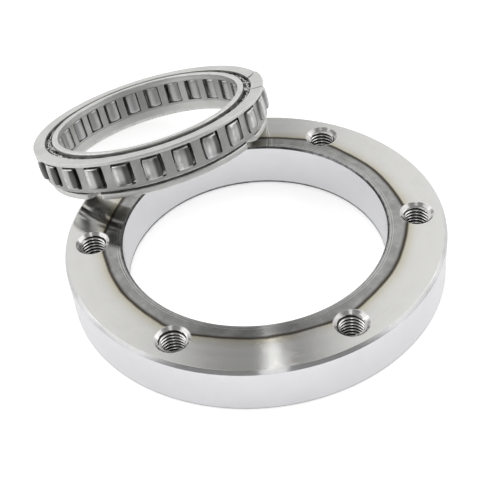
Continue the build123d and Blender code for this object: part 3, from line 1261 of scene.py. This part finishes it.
@dataclass
class OuterCage(ElementPart):
    """The drawn outer cage: a windowed wall with an inward lip, closed by a lapped joint.

    Attributes:
        rim: Outer radius of the rim.
        overhang: How far the rim stands out over the wall.
        sheet: Sheet thickness.
        lip: Inner radius of the rim.
        height: Height of the cage.
        window: The windows' shape.
        seam: Angle of the open joint at the lip's inside.
        seam_slant: How far the joint runs on towards the lip's outside.
        lap: Angle at which the overlapping end is faired into the lip.
        lap_rise: How far that end stands proud.
        lift_from: Height at which the joint's shape sets in.
        lift_over: Height over which it comes in.
        inner_share: How much of its rise the end has at the lip's inside.
        outward: How much of the rise it also stands outwards.
        joint_fade: Angle over which the joint's slant dies out.
        joint_step: Angle over which the raised end drops at the joint.
        lap_step: Angle over which it is faired in at the lap.
        gap_at: Where the joint's gap lies, from the joint's middle.
        gap_width: Its width as an angle.
        gap_depth: Its depth.
        crease_width: Width of the lap's crease as an angle.
        crease_depth: Its depth.
        crease_shade: How dark the painted shade in the crease is.
        rim_shadow: How dark the painted shadow in the corner under the rim is.
    """

    rim: float = 41.45 * MM
    overhang: float = 1.1 * MM
    sheet: float = 1.2 * MM
    lip: float = 37.2 * MM
    height: float = 10.8 * MM
    window: Window = Window(6.8 * MM, -1.42 * MM, -9.45 * MM, 0.9 * MM, -1.2 * MM, 0.12 * MM)
    seam: float = math.radians(341.5)
    seam_slant: float = math.radians(6.0)
    lap: float = math.radians(322.0)
    lap_rise: float = 0.45 * MM
    lift_from: float = -1.15 * MM
    lift_over: float = 0.35 * MM
    inner_share: float = 0.35
    outward: float = 0.3
    joint_fade: float = math.radians(3.2)
    joint_step: float = math.radians(0.32)
    lap_step: float = math.radians(0.8)
    gap_at: float = math.radians(1.25)
    gap_width: float = math.radians(0.6)
    gap_depth: float = 0.2 * MM
    crease_width: float = math.radians(0.3)
    crease_depth: float = 0.12 * MM
    crease_shade: float = 0.8
    rim_shadow: float = 0.7

    def seam_angles(self) -> list[float]:
        """Angles at which the joint and the lap need points."""
        joint, lap = (np.radians(offsets) for offsets in (JOINT_OFFSETS, LAP_OFFSETS))
        return list(self.seam + self.seam_slant / 2 + joint) + list(self.lap + lap)

    def shape_joint(self, radius: Array, angle: Array, height: Array) -> tuple[Array, ...]:
        """Turn the angles near the joint along its slant, raise the overlapping end, sink the gap, and paint
        shade into the gap and the lap's crease.

        The slant is seam_slant * share, where share runs from -1/2 at the lip's inside to 1/2 at
        its outside, faded out beside the joint. The end is raised by lap_rise times a step that is
        sharp at the joint and soft at the lap, and the gap and the crease are Gaussian grooves. All
        of it is faded out below the lip, so that the windowed wall stays round.

        Args:
            radius: Radii of the points.
            angle: Angles of the points.
            height: Heights of the points.

        Returns:
            The changed radius, angle and height, and how much painted shade the gap and the crease get.
        """
        top = np.clip((height - self.lift_from) / self.lift_over, 0, 1)
        share = np.clip((radius - self.lip) / (self.rim - self.lip), 0, 1)
        curve = share * share * (3 - 2 * share) - 0.5
        from_seam = side_of(angle, self.seam + self.seam_slant / 2)
        from_lap = side_of(angle, self.lap)
        fade = np.exp(-(from_seam / self.joint_fade) ** 2)
        turned = angle + self.seam_slant * curve * fade * top
        before = 0.5 - 0.5 * np.tanh(from_seam / self.joint_step)
        after = 1 / (1 + np.exp(-from_lap / self.lap_step))
        raised = self.lap_rise * before * after * top * (self.inner_share + (1 - self.inner_share) * share)
        groove = np.exp(-((from_seam - self.gap_at) / self.gap_width) ** 2) * top
        crease = np.exp(-(from_lap / self.crease_width) ** 2) * top
        level = height + raised - self.gap_depth * groove - self.crease_depth * crease
        # Painted shade in the joint's gap and in the lap's crease.
        joint_shade = np.maximum(groove, self.crease_shade * crease)
        return radius + self.outward * raised * share, turned, level, joint_shade

    def build(self, walls: bpy.types.Material, rims: bpy.types.Material) -> bpy.types.Object:
        """Build the cage as one closed piece.

        Args:
            walls: The finish of the windowed wall.
            rims: The finish of its rims.

        Returns:
            The finished piece.
        """
        outside = self.rim - self.overhang
        inside = outside - self.sheet
        band_top, band_bottom = -1.25 * MM, -9.65 * MM
        wall = WindowedWall(self.placement, self.count, self.start, outside, inside, self.window,
                            band_top, band_bottom, top_extra=self.seam_angles())
        patches = Patchwork()
        wall.build(patches)
        upper, wear_and_painted_light_mask = rounded_profile([
            (outside, band_top, 0), (outside, -self.sheet, 0.04 * MM), (self.rim, -self.sheet, 0.3 * MM),
            (self.rim, 0, 0.45 * MM), (self.lip, 0, 0.3 * MM), (self.lip, -self.sheet, 0.25 * MM),
            (inside, -self.sheet, 0.04 * MM), (inside, band_top, 0)], 6)
        upper, wear_and_painted_light_mask = densify(upper, wear_and_painted_light_mask * 0.6, 0.5 * MM)
        # Painted shadow in the corner under the rim, on the wall just below its overhang.
        rim_shadow = (upper[:, 0] > outside - 0.01 * MM) & (upper[:, 0] < outside + 0.7 * MM)
        rim_shadow &= upper[:, 1] < 0.04 * MM - self.sheet
        wear_and_painted_light_mask = np.where(rim_shadow, -self.rim_shadow, wear_and_painted_light_mask)
        lathe(patches, self.placement, upper, wear_and_painted_light_mask, wall.rim_angles(Side.TOP), self.shape_joint, 1)
        lower, wear_and_painted_light_mask = rounded_profile([
            (outside, band_bottom, 0), (outside, -self.height, 0.35 * MM),
            (inside, -self.height, 0.35 * MM), (inside, band_bottom, 0)])
        lathe(patches, self.placement, *densify(lower, wear_and_painted_light_mask, 0.6 * MM), wall.rim_angles(Side.BOTTOM))
        piece = patches.piece("outer_cage_shell", walls, rims)
        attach(piece, "sprag_element")
        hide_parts("outer_cage")
        return piece


@dataclass
class InnerCage(ElementPart):
    """The drawn inner cage: a windowed wall with a rounded rim and a notched flange at its foot.

    Attributes:
        inside: Inner radius of the wall.
        sheet: Sheet thickness.
        height: Height of the cage.
        flange: Outer radius of the flange.
        window: The windows' shape.
        bead: How far the rolled rim stands out over the wall.
        proud: How far it stands over the element's top.
        curl: How far the flange's edge is curled up.
        notches: Number of notches in the flange.
        first_notch: Angle of the first notch.
        notch_width: Width of a notch.
        notch_depth: Depth of a notch.
        corner: Radius of the corners at a notch's mouth.
        fillet_width: Width of the fillets at its bottom.
        fillet_height: Their height.
        ridge: Height of the ridge beside a notch.
        ridge_at: How far from the notch's side it lies.
        ridge_width: Its width.
    """

    inside: float = 32.45 * MM
    sheet: float = 1.2 * MM
    height: float = 14.1 * MM
    flange: float = 39.15 * MM
    window: Window = Window(5.6 * MM, -1.8 * MM, -9.4 * MM, 0.5 * MM, 2.4 * MM, 0.1 * MM)
    bead: float = 0.9 * MM
    proud: float = 0.4 * MM
    curl: float = 0.9 * MM
    notches: int = 4
    first_notch: float = math.radians(29.5)
    notch_width: float = 4.6 * MM
    notch_depth: float = 3.2 * MM
    corner: float = 1.3 * MM
    fillet_width: float = 0.7 * MM
    fillet_height: float = 0.5 * MM
    ridge: float = 0.22 * MM
    ridge_at: float = 0.35 * MM
    ridge_width: float = 0.5 * MM

    def notch_angles(self) -> list[float]:
        """Angles at which the notches need points.

        Returns:
            The angles, for each notch those along its sides and its middle.
        """
        half = self.notch_width / 2
        side = half + np.array(NOTCH_OFFSETS) * MM
        across = np.concatenate([-side[::-1], [0.0], side]) / self.flange
        middles = self.first_notch + np.arange(self.notches) * 2 * math.pi / self.notches
        return (middles[:, None] + across[None, :]).ravel().tolist()

    def shape_notches(self, radius: Array, angle: Array, height: Array) -> tuple[Array, ...]:
        """Draw the flange in at the notches: its points beyond the notch's bottom move inwards.

        With x how far a point lies beyond the notch's side, the flange's edge is the notch's bottom
        where x < 0, with a small fillet in its corner. Where x > 0 it is the side's straight wall
        and then a quarter circle up to the full radius. A low ridge runs along each side.

        Args:
            radius: Radii of the points.
            angle: Angles of the points.
            height: Heights of the points.

        Returns:
            The changed radius, angle and height, and zeros, because no point gets painted shade.
        """
        bottom = self.flange - self.notch_depth
        pitch = 2 * math.pi / self.notches
        nearest = self.first_notch + np.round((angle - self.first_notch) / pitch) * pitch
        x = np.abs(angle - nearest) * self.flange - self.notch_width / 2
        rise = np.clip(x / self.corner, 0, 1)
        arc = self.notch_depth - self.corner + self.corner * np.sqrt(np.clip(1 - (1 - rise) ** 2, 0, 1))
        inner = np.clip((x + self.fillet_width) / self.fillet_width, 0, 1)
        hollow = self.fillet_height * (1 - np.sqrt(np.clip(1 - inner ** 2, 0, 1)))
        edge = np.where(x > -1e-7, arc, hollow) + bottom
        beyond = np.clip((radius - bottom) / self.notch_depth, 0, 1)
        drawn = np.where(radius > bottom, bottom + beyond * (edge - bottom), radius)
        ridge = self.ridge * np.exp(-((x - self.ridge_at) / self.ridge_width) ** 2) * beyond
        return drawn, angle, height + ridge, np.zeros_like(drawn)

    def build(self, walls: bpy.types.Material, rims: bpy.types.Material) -> bpy.types.Object:
        """Build the cage as one closed piece.

        Args:
            walls: The finish of the windowed wall.
            rims: The finish of its rims.

        Returns:
            The finished piece.
        """
        outside = self.inside + self.sheet
        band_top, band_bottom = -1.5 * MM, -10.2 * MM
        flange_top = self.sheet - self.height
        wall = WindowedWall(self.placement, self.count, self.start, outside, self.inside, self.window,
                            band_top, band_bottom, bottom_extra=self.notch_angles())
        patches = Patchwork()
        wall.build(patches)
        upper, wear_and_painted_light_mask = rounded_profile([
            (outside, band_top, 0), (outside, -1.2 * MM, 0.1 * MM),
            (outside + self.bead, -1.0 * MM, 0.3 * MM), (outside + self.bead, self.proud, 0.55 * MM),
            (self.inside, self.proud, 0.5 * MM), (self.inside, band_top, 0)], 5)
        lathe(patches, self.placement, *densify(upper, wear_and_painted_light_mask, 0.5 * MM), wall.rim_angles(Side.TOP), finish=1)
        lower, wear_and_painted_light_mask = rounded_profile([
            (outside, band_bottom, 0), (outside, flange_top, 0.6 * MM),
            (self.flange - 1.7 * MM, flange_top, 0.4 * MM),
            (self.flange - 1.0 * MM, flange_top + self.curl, 0.3 * MM),
            (self.flange, flange_top + self.curl, 0.5 * MM), (self.flange, -self.height, 0.45 * MM),
            (self.inside, -self.height, 1.5 * MM), (self.inside, band_bottom, 0)], 5)
        lathe(patches, self.placement, *densify(lower, wear_and_painted_light_mask, 0.7 * MM), wall.rim_angles(Side.BOTTOM),
              self.shape_notches, 1)
        piece = patches.piece("inner_cage_shell", walls, rims)
        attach(piece, "inner_ring")
        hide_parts("inner_cage")
        return piece


@dataclass
class RibbonSpring(ElementPart):
    """The crimped spring strip that is threaded over the sprags and presses them home.

    Attributes:
        middle: Mean radius.
        thickness: Strip thickness.
        top: Height of the strip's upper edge.
        bottom: Height of its lower edge.
        window: The windows' shape.
        crimps: Waves to each sprag.
        swing: Height of a wave.
    """

    middle: float = 36.05 * MM
    thickness: float = 0.3 * MM
    top: float = -0.85 * MM
    bottom: float = -10.35 * MM
    window: Window = Window(5.8 * MM, -1.7 * MM, -9.5 * MM, 0.4 * MM, 0.564 * MM, 0.04 * MM)
    crimps: int = 3
    swing: float = 0.5 * MM

    def waves(self, angle: Array, height: Array) -> Array:
        """Crimps across the strip, stronger between windows.

        With t = count * (angle - start), they are swing * (0.55 - 0.45 cos^3 t) * (sin(crimps t) +
        lean), where the lean is a wave along the height.

        Args:
            angle: Angles of the points.
            height: Their heights, along which the crimps lean a little to and fro.

        Returns:
            What is added to the radius.
        """
        turn = (angle - self.start) * self.count
        bar = 0.55 + 0.45 * np.cos(turn + math.pi) ** 3
        lean = 0.25 * np.sin((height - self.top) / (self.bottom - self.top) * 4 * math.pi)
        return self.swing * bar * (np.sin(self.crimps * turn) + lean)

    def crimp_edge(self, radius: Array, angle: Array, height: Array) -> tuple[Array, ...]:
        """Carry the crimps on over the strip's long edges."""
        return radius + self.waves(angle, height), angle, height, np.zeros_like(angle)

    def build(self, material: bpy.types.Material) -> bpy.types.Object:
        """Build the strip as one closed piece.

        Args:
            material: Its finish.

        Returns:
            The finished piece.
        """
        outside, inside = self.middle + self.thickness / 2, self.middle - self.thickness / 2
        wall = WindowedWall(self.placement, self.count, self.start, outside, inside, self.window,
                            self.top, self.bottom, waves=self.waves, columns=27)
        patches = Patchwork()
        wall.build(patches)
        for level, side in ((self.top, Side.TOP), (self.bottom, Side.BOTTOM)):
            edge = np.array([(outside, level), (inside, level)])
            lathe(patches, self.placement, edge, np.ones(2), wall.rim_angles(side), self.crimp_edge)
        piece = patches.piece("ribbon_strip", material, sharp=50.0)
        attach(piece, "sprag_element")
        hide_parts("ribbon_spring")
        return piece


@dataclass
class Sprags(ElementPart):
    """The ring of sprags: waisted, leaning struts with crowned heads.

    Attributes:
        track: Radius of the inner track.
        bore: Radius of the bore.
        top: Height of a sprag's upper end.
        length: Its length.
        shift: How far it is pushed aside against its windows.
        round_end: Radius of the rounding of its ends.
        outer_aside: How far the outer head lies aside of the radial line.
        inner_aside: The same of the inner head, the other way.
        outer_half: Half the width of the outer head.
        inner_half: Half the width of the inner head.
        waist_half: Half the width of the waist.
        outer_depth: How far below the bore the outer head's flanks end.
        inner_depth: How far above the track the inner head's flanks end.
        crown_aside: How far a crown's top lies from its head's middle.
        crown_drop: How far a crown falls to the head's sides.
        barrel: How far the outer head narrows towards its ends.
        barrel_power: How late it narrows.
        head_from: Radius at which the outer head starts.
        head_over: Over how much radius it comes in.
        points: Points round the outline.
        finer: How many times finer it is smoothed.
        end_rows: Rows of points on the rounding of an end.
        side_rows: Rows between the two ends.
    """

    track: float = 32.3 * MM
    bore: float = 41.7 * MM
    top: float = -1.9 * MM
    length: float = 7.4 * MM
    shift: float = -0.4 * MM
    round_end: float = 0.55 * MM
    outer_aside: float = 1.2 * MM
    inner_aside: float = 2.4 * MM
    outer_half: float = 2.8 * MM
    inner_half: float = 2.2 * MM
    waist_half: float = 1.6 * MM
    outer_depth: float = 2.3 * MM
    inner_depth: float = 1.9 * MM
    crown_aside: float = 0.4 * MM
    crown_drop: float = 0.6 * MM
    barrel: float = 0.4 * MM
    barrel_power: float = 2.6
    head_from: float = 38.2 * MM
    head_over: float = 1.5 * MM
    points: int = 64
    finer: int = 8
    end_rows: int = 5
    side_rows: int = 7

    def outline(self) -> Array:
        """The sprag's outline at +X, as a closed loop that starts in the middle of its inner crown.

        Two crowns and two waists are arcs through three points, joined by straight flanks. The
        loop is cut into equal steps and smoothed with a short window, which rounds its corners.

        Returns:
            Points (radial, aside), of shape (points, 2).
        """
        mid = (self.bore + self.track) / 2
        outer_end, inner_end = self.bore - self.crown_drop, self.track + self.crown_drop
        outer_flank, inner_flank = self.bore - self.outer_depth, self.track + self.inner_depth
        aside = (self.inner_aside - self.outer_aside) / 2
        low, high = ([
            (inner_end, self.inner_aside + sign * self.inner_half),
            (inner_flank, self.inner_aside + sign * self.inner_half),
            (mid, aside + sign * self.waist_half),
            (outer_flank, -self.outer_aside + sign * self.outer_half),
            (outer_end, -self.outer_aside + sign * self.outer_half)] for sign in (-1, 1))
        outer_crown = (self.bore, -self.outer_aside + self.crown_aside)
        inner_crown = (self.track, self.inner_aside - self.crown_aside)
        runs = [
            arc_through(inner_crown, None, low[0], high[0]), np.array([low[0], low[1]]),
            arc_through(low[1], low[2], low[3]), np.array([low[3], low[4]]),
            arc_through(low[4], outer_crown, high[4]), np.array([high[4], high[3]]),
            arc_through(high[3], high[2], high[1]), np.array([high[1], high[0]]),
            arc_through(high[0], None, inner_crown, low[0])]
        loop = np.concatenate([run[:-1] for run in runs] + [runs[-1][-1:]])
        length = run_length(loop)
        even = np.linspace(0, length[-1], self.finer * self.points + 1)[:-1]
        fine = np.stack([np.interp(even, length, loop[:, k]) for k in (0, 1)], axis=-1)
        reach = self.finer + 1
        window = np.hanning(2 * reach + 3)[1:-1]
        window /= window.sum()
        smooth = sum(w * np.roll(fine, k, axis=0) for w, k in zip(window, range(-reach, reach + 1)))
        return smooth[::self.finer]

    def body(self, number: int) -> Patchwork:
        """The patches of one sprag: its side, and two ends closed across from side to side.

        Each row is the outline, moved in along its normals by the end's rounding, and on the outer
        head by barrel * |along|^barrel_power, where along runs from -1 to 1 between the ends. The
        mask has a painted highlight along the outer crown, painted shade on the flank beside it, and
        ends bright from wear.

        Args:
            number: Number of the sprag.

        Returns:
            Its patches.
        """
        loop = self.outline()
        ahead = np.roll(loop, -1, axis=0) - np.roll(loop, 1, axis=0)
        outward = np.stack([ahead[:, 1], -ahead[:, 0]], axis=-1) / np.linalg.norm(ahead, axis=1)[:, None]
        if np.sum((loop - loop.mean(axis=0)) * outward) < 0:
            outward = -outward
        sweep = np.linspace(0, math.pi / 2, self.end_rows)
        inset = self.round_end * (1 - np.sin(sweep))
        drop = self.round_end * (1 - np.cos(sweep))
        between = np.linspace(0, 1, self.side_rows + 2)[1:-1]
        straight = self.top - self.round_end - between * (self.length - 2 * self.round_end)
        level = np.concatenate([self.top - drop, straight, self.top - self.length + drop[::-1]])
        shrink = np.concatenate([inset, np.zeros(self.side_rows), inset[::-1]])
        along = np.abs(2 * (self.top - level) / self.length - 1)
        head = np.clip((loop[:, 0] - self.head_from) / self.head_over, 0, 1)
        shrink = shrink[:, None] + self.barrel * (along ** self.barrel_power)[:, None] * head[None, :]
        rings = loop[None, :, :] - outward[None, :, :] * shrink[:, :, None]
        closed = np.concatenate([rings, rings[:, :1]], axis=1)
        line = self.start + number * 2 * math.pi / self.count
        patches = Patchwork()
        # Painted highlight along the outer crown and painted shade on the flank beside it, on the outer head
        # only.
        side = (np.append(loop[:, 1], loop[0, 1]) + self.outer_aside) / self.outer_half
        crest = 0.85 * np.exp(-((side + 0.5) / 0.3) ** 2) - 0.45 * np.clip((side - 0.05) / 0.4, 0, 1)
        rounded = np.ones(self.end_rows - 1)
        ends = np.concatenate([rounded, np.zeros(self.side_rows + 2), rounded])[:, None] * 0.8
        wear_and_painted_light_mask = np.where(ends > 0, ends, (crest * np.append(head, head[0]))[None, :])
        self.add(patches, closed, level[:, None], line, wear_and_painted_light_mask)
        half = self.points // 2
        across = np.linspace(0, 1, 5)
        for ring, height in ((rings[0], level[0]), (rings[-1], level[-1])):
            one = ring[:half + 1]
            other = np.concatenate([ring[:1], ring[:half - 1:-1]])
            self.add(patches, spread_between(one, other, across), np.full((1, 1), height), line, 0.0)
        return patches

    def add(self, patches: Patchwork, grid: Array, level: Array, line: float, wear_and_painted_light_mask: Array | float) -> None:
        """Add a grid to a sprag, turned to its line.

        Args:
            patches: The sprag's patches.
            grid: (radial, aside) points.
            level: Their heights.
            line: Angle of the sprag's radial line.
            wear_and_painted_light_mask: The edge mask.
        """
        radial, aside = grid[..., 0], grid[..., 1] + self.shift
        local = np.stack([
            radial * math.cos(line) - aside * math.sin(line),
            radial * math.sin(line) + aside * math.cos(line),
            np.broadcast_to(level, radial.shape)], axis=-1)
        uv = np.stack([radial + aside, np.broadcast_to(level, radial.shape)], axis=-1)
        patches.add(self.placement.place(local), uv, wear_and_painted_light_mask)

    def build(self, material: bpy.types.Material) -> list[bpy.types.Object]:
        """Build every sprag as a closed piece of its own.

        Args:
            material: Their finish.

        Returns:
            The finished pieces.
        """
        pieces = []
        for number in range(self.count):
            name = f"sprag_{number + 1:02d}"
            piece = self.body(number).piece(f"{name}_body", material, sharp=50.0)
            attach(piece, f"{name}_strut")
            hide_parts(name)
            pieces.append(piece)
        return pieces


Point = tuple[float, float]
ARC_POINTS = 13


def arc_through(first: Point, middle: Point | None, last: Point, beyond: Point | None = None) -> Array:
    """Points of a circle arc from the first to the last of three points.

    The circle's centre is the solution of |c - p|^2 equal for all three. Without a middle point the
    third point of the circle is the one beyond, and the short way round is taken.

    Args:
        first: Where the arc starts.
        middle: A point on it, or None.
        last: Where it ends.
        beyond: A point of the circle outside the arc, where there is no middle point.

    Returns:
        Points, of shape (ARC_POINTS, 2).
    """
    third = middle if middle is not None else beyond
    trio = np.array([first, third, last])
    rows = 2 * (trio[1:] - trio[0])
    centre = np.linalg.solve(rows, (trio[1:] ** 2).sum(axis=1) - (trio[0] ** 2).sum())
    spread = trio - centre
    angles = np.arctan2(spread[:, 1], spread[:, 0])
    sweep = side_of(angles[2], angles[0])
    if middle is not None:
        via = side_of(angles[1], angles[0])
        if via * sweep < 0 or abs(via) > abs(sweep):
            sweep -= math.copysign(2 * math.pi, sweep)
    turn = angles[0] + np.linspace(0, 1, ARC_POINTS) * sweep
    radius = float(np.linalg.norm(spread[0]))
    return centre + polar(radius, turn)


# The studio


@dataclass(frozen=True)
class Lamp:
    """A rectangular lamp that faces the origin.

    Attributes:
        name: Its name.
        azimuth: Its direction in degrees from +X.
        elevation: Its height in degrees over the floor.
        distance: Its distance.
        size: Its width and height.
        radiance: How bright its face is, where white is 1.
    """

    name: str
    azimuth: float
    elevation: float
    distance: float
    size: tuple[float, float]
    radiance: float

    def add(self) -> None:
        """Put the lamp into the scene."""
        data = bpy.data.lights.new(self.name, "AREA")
        data.shape = "RECTANGLE"
        data.size, data.size_y = self.size
        data.energy = self.radiance * math.pi * self.size[0] * self.size[1]
        lamp = bpy.data.objects.new(self.name, data)
        a, e = math.radians(self.azimuth), math.radians(self.elevation)
        place = Vector((math.cos(a) * math.cos(e), math.sin(a) * math.cos(e), math.sin(e))) * self.distance
        across = Vector((-math.sin(a), math.cos(a), 0.0))
        back = place.normalized()
        turn = Matrix((across, back.cross(across), back)).transposed()
        lamp.matrix_world = Matrix.Translation(place) @ turn.to_4x4()
        bpy.context.scene.collection.objects.link(lamp)


@dataclass
class Studio:
    """Floor, lamps, world and camera.

    Attributes:
        eye: Where the camera stands.
        aim: What it looks at.
        roll: How far it is rolled, in radians, positive when its right side tips down.
        lens: Focal length in mm on a 36 mm sensor.
        reach: How far the floor reaches each way.
        sunk: How far it lies below the object, so that the two don't flicker.
        floor_glow: What the floor adds to itself where the camera sees it.
        mirrored: How much of that shows in the object.
        far_side: Direction in which the bright panels stand.
        panel_light: How bright they are.
        panel_edge: Between which shares of that direction they come in.
        gap_middle: How far aside of it the gap between them lies.
        gap_sides: How far from its middle the gap starts and ends to fade.
        gap_heights: Between which heights it comes in.
        horizon: Between which heights the light near the floor fades.
        horizon_light: How bright the surroundings are near the floor.
        least_light: How bright they are elsewhere.
        lamps: The lamps.
    """

    eye: tuple[float, float, float] = (-0.12891, -0.21919, 0.23930)
    aim: tuple[float, float, float] = (-0.00231, 0.00571, 0.008)
    roll: float = math.radians(6.686)
    lens: float = 80.625
    reach: float = 6.0
    sunk: float = 0.05 * MM
    floor_glow: float = 0.6
    mirrored: float = 0.6
    far_side: float = math.radians(61.0)
    panel_light: float = 0.92
    panel_edge: tuple[float, float] = (0.0, 0.3)
    gap_middle: float = 0.005
    gap_sides: tuple[float, float] = (0.04, 0.10)
    gap_heights: tuple[float, float] = (0.48, 0.66)
    horizon: tuple[float, float] = (0.08, 0.42)
    horizon_light: float = 0.5
    least_light: float = 0.30
    lamps: tuple[Lamp, ...] = (
        Lamp("left_softbox", 150.0, 35.0, 0.9, (0.8, 0.6), 1.0),
        Lamp("right_softbox", -30.0, 35.0, 0.9, (0.8, 0.6), 1.0),
        Lamp("overhead_strip", 58.5, 67.0, 0.8, (0.004, 0.36), 16.0),
        Lamp("tall_strip", -117.6, 40.0, 0.8, (0.165, 0.5), 1.0),
    )

    def camera(self) -> None:
        """Add the camera: it looks from the eye to the aim, rolled about that line."""
        data = bpy.data.cameras.new("camera")
        data.lens = self.lens
        data.sensor_width = 36.0
        data.clip_start = 0.01
        data.clip_end = 20.0
        camera = bpy.data.objects.new("camera", data)
        ahead = (Vector(self.aim) - Vector(self.eye)).normalized()
        level = ahead.cross(Vector((0, 0, 1))).normalized()
        upright = level.cross(ahead)
        right = level * math.cos(self.roll) - upright * math.sin(self.roll)
        up = upright * math.cos(self.roll) + level * math.sin(self.roll)
        turn = Matrix((right, up, -ahead)).transposed()
        camera.matrix_world = Matrix.Translation(self.eye) @ turn.to_4x4()
        bpy.context.scene.collection.objects.link(camera)
        bpy.context.scene.camera = camera

    def floor(self) -> None:
        """Add the pale floor, which is white where nothing shades it and keeps a shadow."""
        mesh = bpy.data.meshes.new("floor")
        low, high = -self.reach, self.reach
        mesh.from_pydata([(low, low, 0), (high, low, 0), (high, high, 0), (low, high, 0)], [], [(0, 1, 2, 3)])
        floor = bpy.data.objects.new("floor", mesh)
        floor.location = (0, 0, -self.sunk)
        material = bpy.data.materials.new("floor")
        material.use_nodes = True
        wires = Wiring(material.node_tree)
        material.node_tree.nodes.remove(material.node_tree.nodes["Principled BSDF"])
        output = material.node_tree.nodes["Material Output"]
        paths = wires.node("ShaderNodeLightPath").outputs
        seen = wires.times(paths["Is Glossy Ray"], self.mirrored)
        seen = wires.math("MAXIMUM", paths["Is Camera Ray"], seen)
        matte = wires.node("ShaderNodeBsdfDiffuse")
        matte.inputs["Color"].default_value = (0.9, 0.9, 0.9, 1)
        glow = wires.node("ShaderNodeEmission")
        glow.inputs["Color"].default_value = (1, 1, 1, 1)
        wires.feed(glow.inputs["Strength"], wires.times(seen, self.floor_glow))
        both = wires.node("ShaderNodeAddShader")
        wires.feed(both.inputs[0], matte.outputs[0])
        wires.feed(both.inputs[1], glow.outputs[0])
        wires.feed(output.inputs["Surface"], both.outputs[0])
        mesh.materials.append(material)
        bpy.context.scene.collection.objects.link(floor)

    def world(self) -> None:
        """Make the surroundings white to the camera and grey to everything else.

        Everything but the camera sees the brightest of three lights: panels on the far side, with
        a dark gap high up in their middle, a light near the horizon, and the least light.
        """
        world = bpy.data.worlds.new("surroundings")
        world.use_nodes = True
        wires = Wiring(world.node_tree)
        back = world.node_tree.nodes["Background"]
        paths = wires.node("ShaderNodeLightPath").outputs
        ray = wires.node("ShaderNodeTexCoord").outputs["Generated"]
        x, y = math.cos(self.far_side), math.sin(self.far_side)
        far = wires.vector("DOT_PRODUCT", ray, (x, y, 0.0), out=1)
        aside = wires.vector("DOT_PRODUCT", ray, (y, -x, 0.0), out=1)
        height = wires.split(ray)[2]
        apart = wires.math("ABSOLUTE", wires.minus(aside, self.gap_middle))
        within = wires.rest(wires.step(apart, *self.gap_sides))
        gap = wires.times(within, wires.step(height, *self.gap_heights))
        panels = wires.times(wires.step(far, *self.panel_edge), wires.rest(gap))
        low = wires.times(wires.rest(wires.step(height, *self.horizon)), self.horizon_light)
        bright = wires.times(panels, self.panel_light)
        around = wires.math("MAXIMUM", wires.math("MAXIMUM", bright, low), self.least_light)
        level = wires.math("MAXIMUM", around, paths["Is Camera Ray"])
        wires.feed(back.inputs["Strength"], level)
        back.inputs["Color"].default_value = (1, 1, 1, 1)
        bpy.context.scene.world = world

    def build(self) -> None:
        """Set up the whole studio."""
        bpy.context.scene.view_settings.view_transform = "Standard"
        self.camera()
        self.floor()
        self.world()
        for lamp in self.lamps:
            lamp.add()


def main() -> None:
    """Build the clutch and the studio, one sub-assembly after another."""
    logging.basicConfig(level=logging.INFO)
    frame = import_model()
    record = frame["record"]
    turn = next(joint for joint in record["behaviour"]["joints"] if joint["name"] == "inner_cage_turn")
    placement = Placement(tuple(turn["pos_m"]), tuple(turn["axis"]))
    count = sum(1 for name in frame["nodes"] if name.startswith("sprag_"))
    effects = Effects()
    race_steel = RaceFinish().material(effects)
    steel = {metal: metal.value.material(effects) for metal in Metal}
    OuterRace().build(race_steel, steel[Metal.THREAD])
    # Each cage's wall takes a darker copy of its rims' steel: painted shade on the walls, painted light on
    # the rims.
    OuterCage(placement, count, FIRST_SPRAG).build(steel[Metal.WALL_PAINTED_SHADE], steel[Metal.RIM_PAINTED_LIGHT])
    InnerCage(placement, count, FIRST_SPRAG).build(steel[Metal.CAGE_PAINTED_SHADE], steel[Metal.RIM_PAINTED_LIGHT])
    RibbonSpring(placement, count, FIRST_SPRAG).build(steel[Metal.SPRING])
    Sprags(placement, count, FIRST_SPRAG).build(steel[Metal.SPRAG])
    Studio().build()


if __name__ == "__main__":
    main()
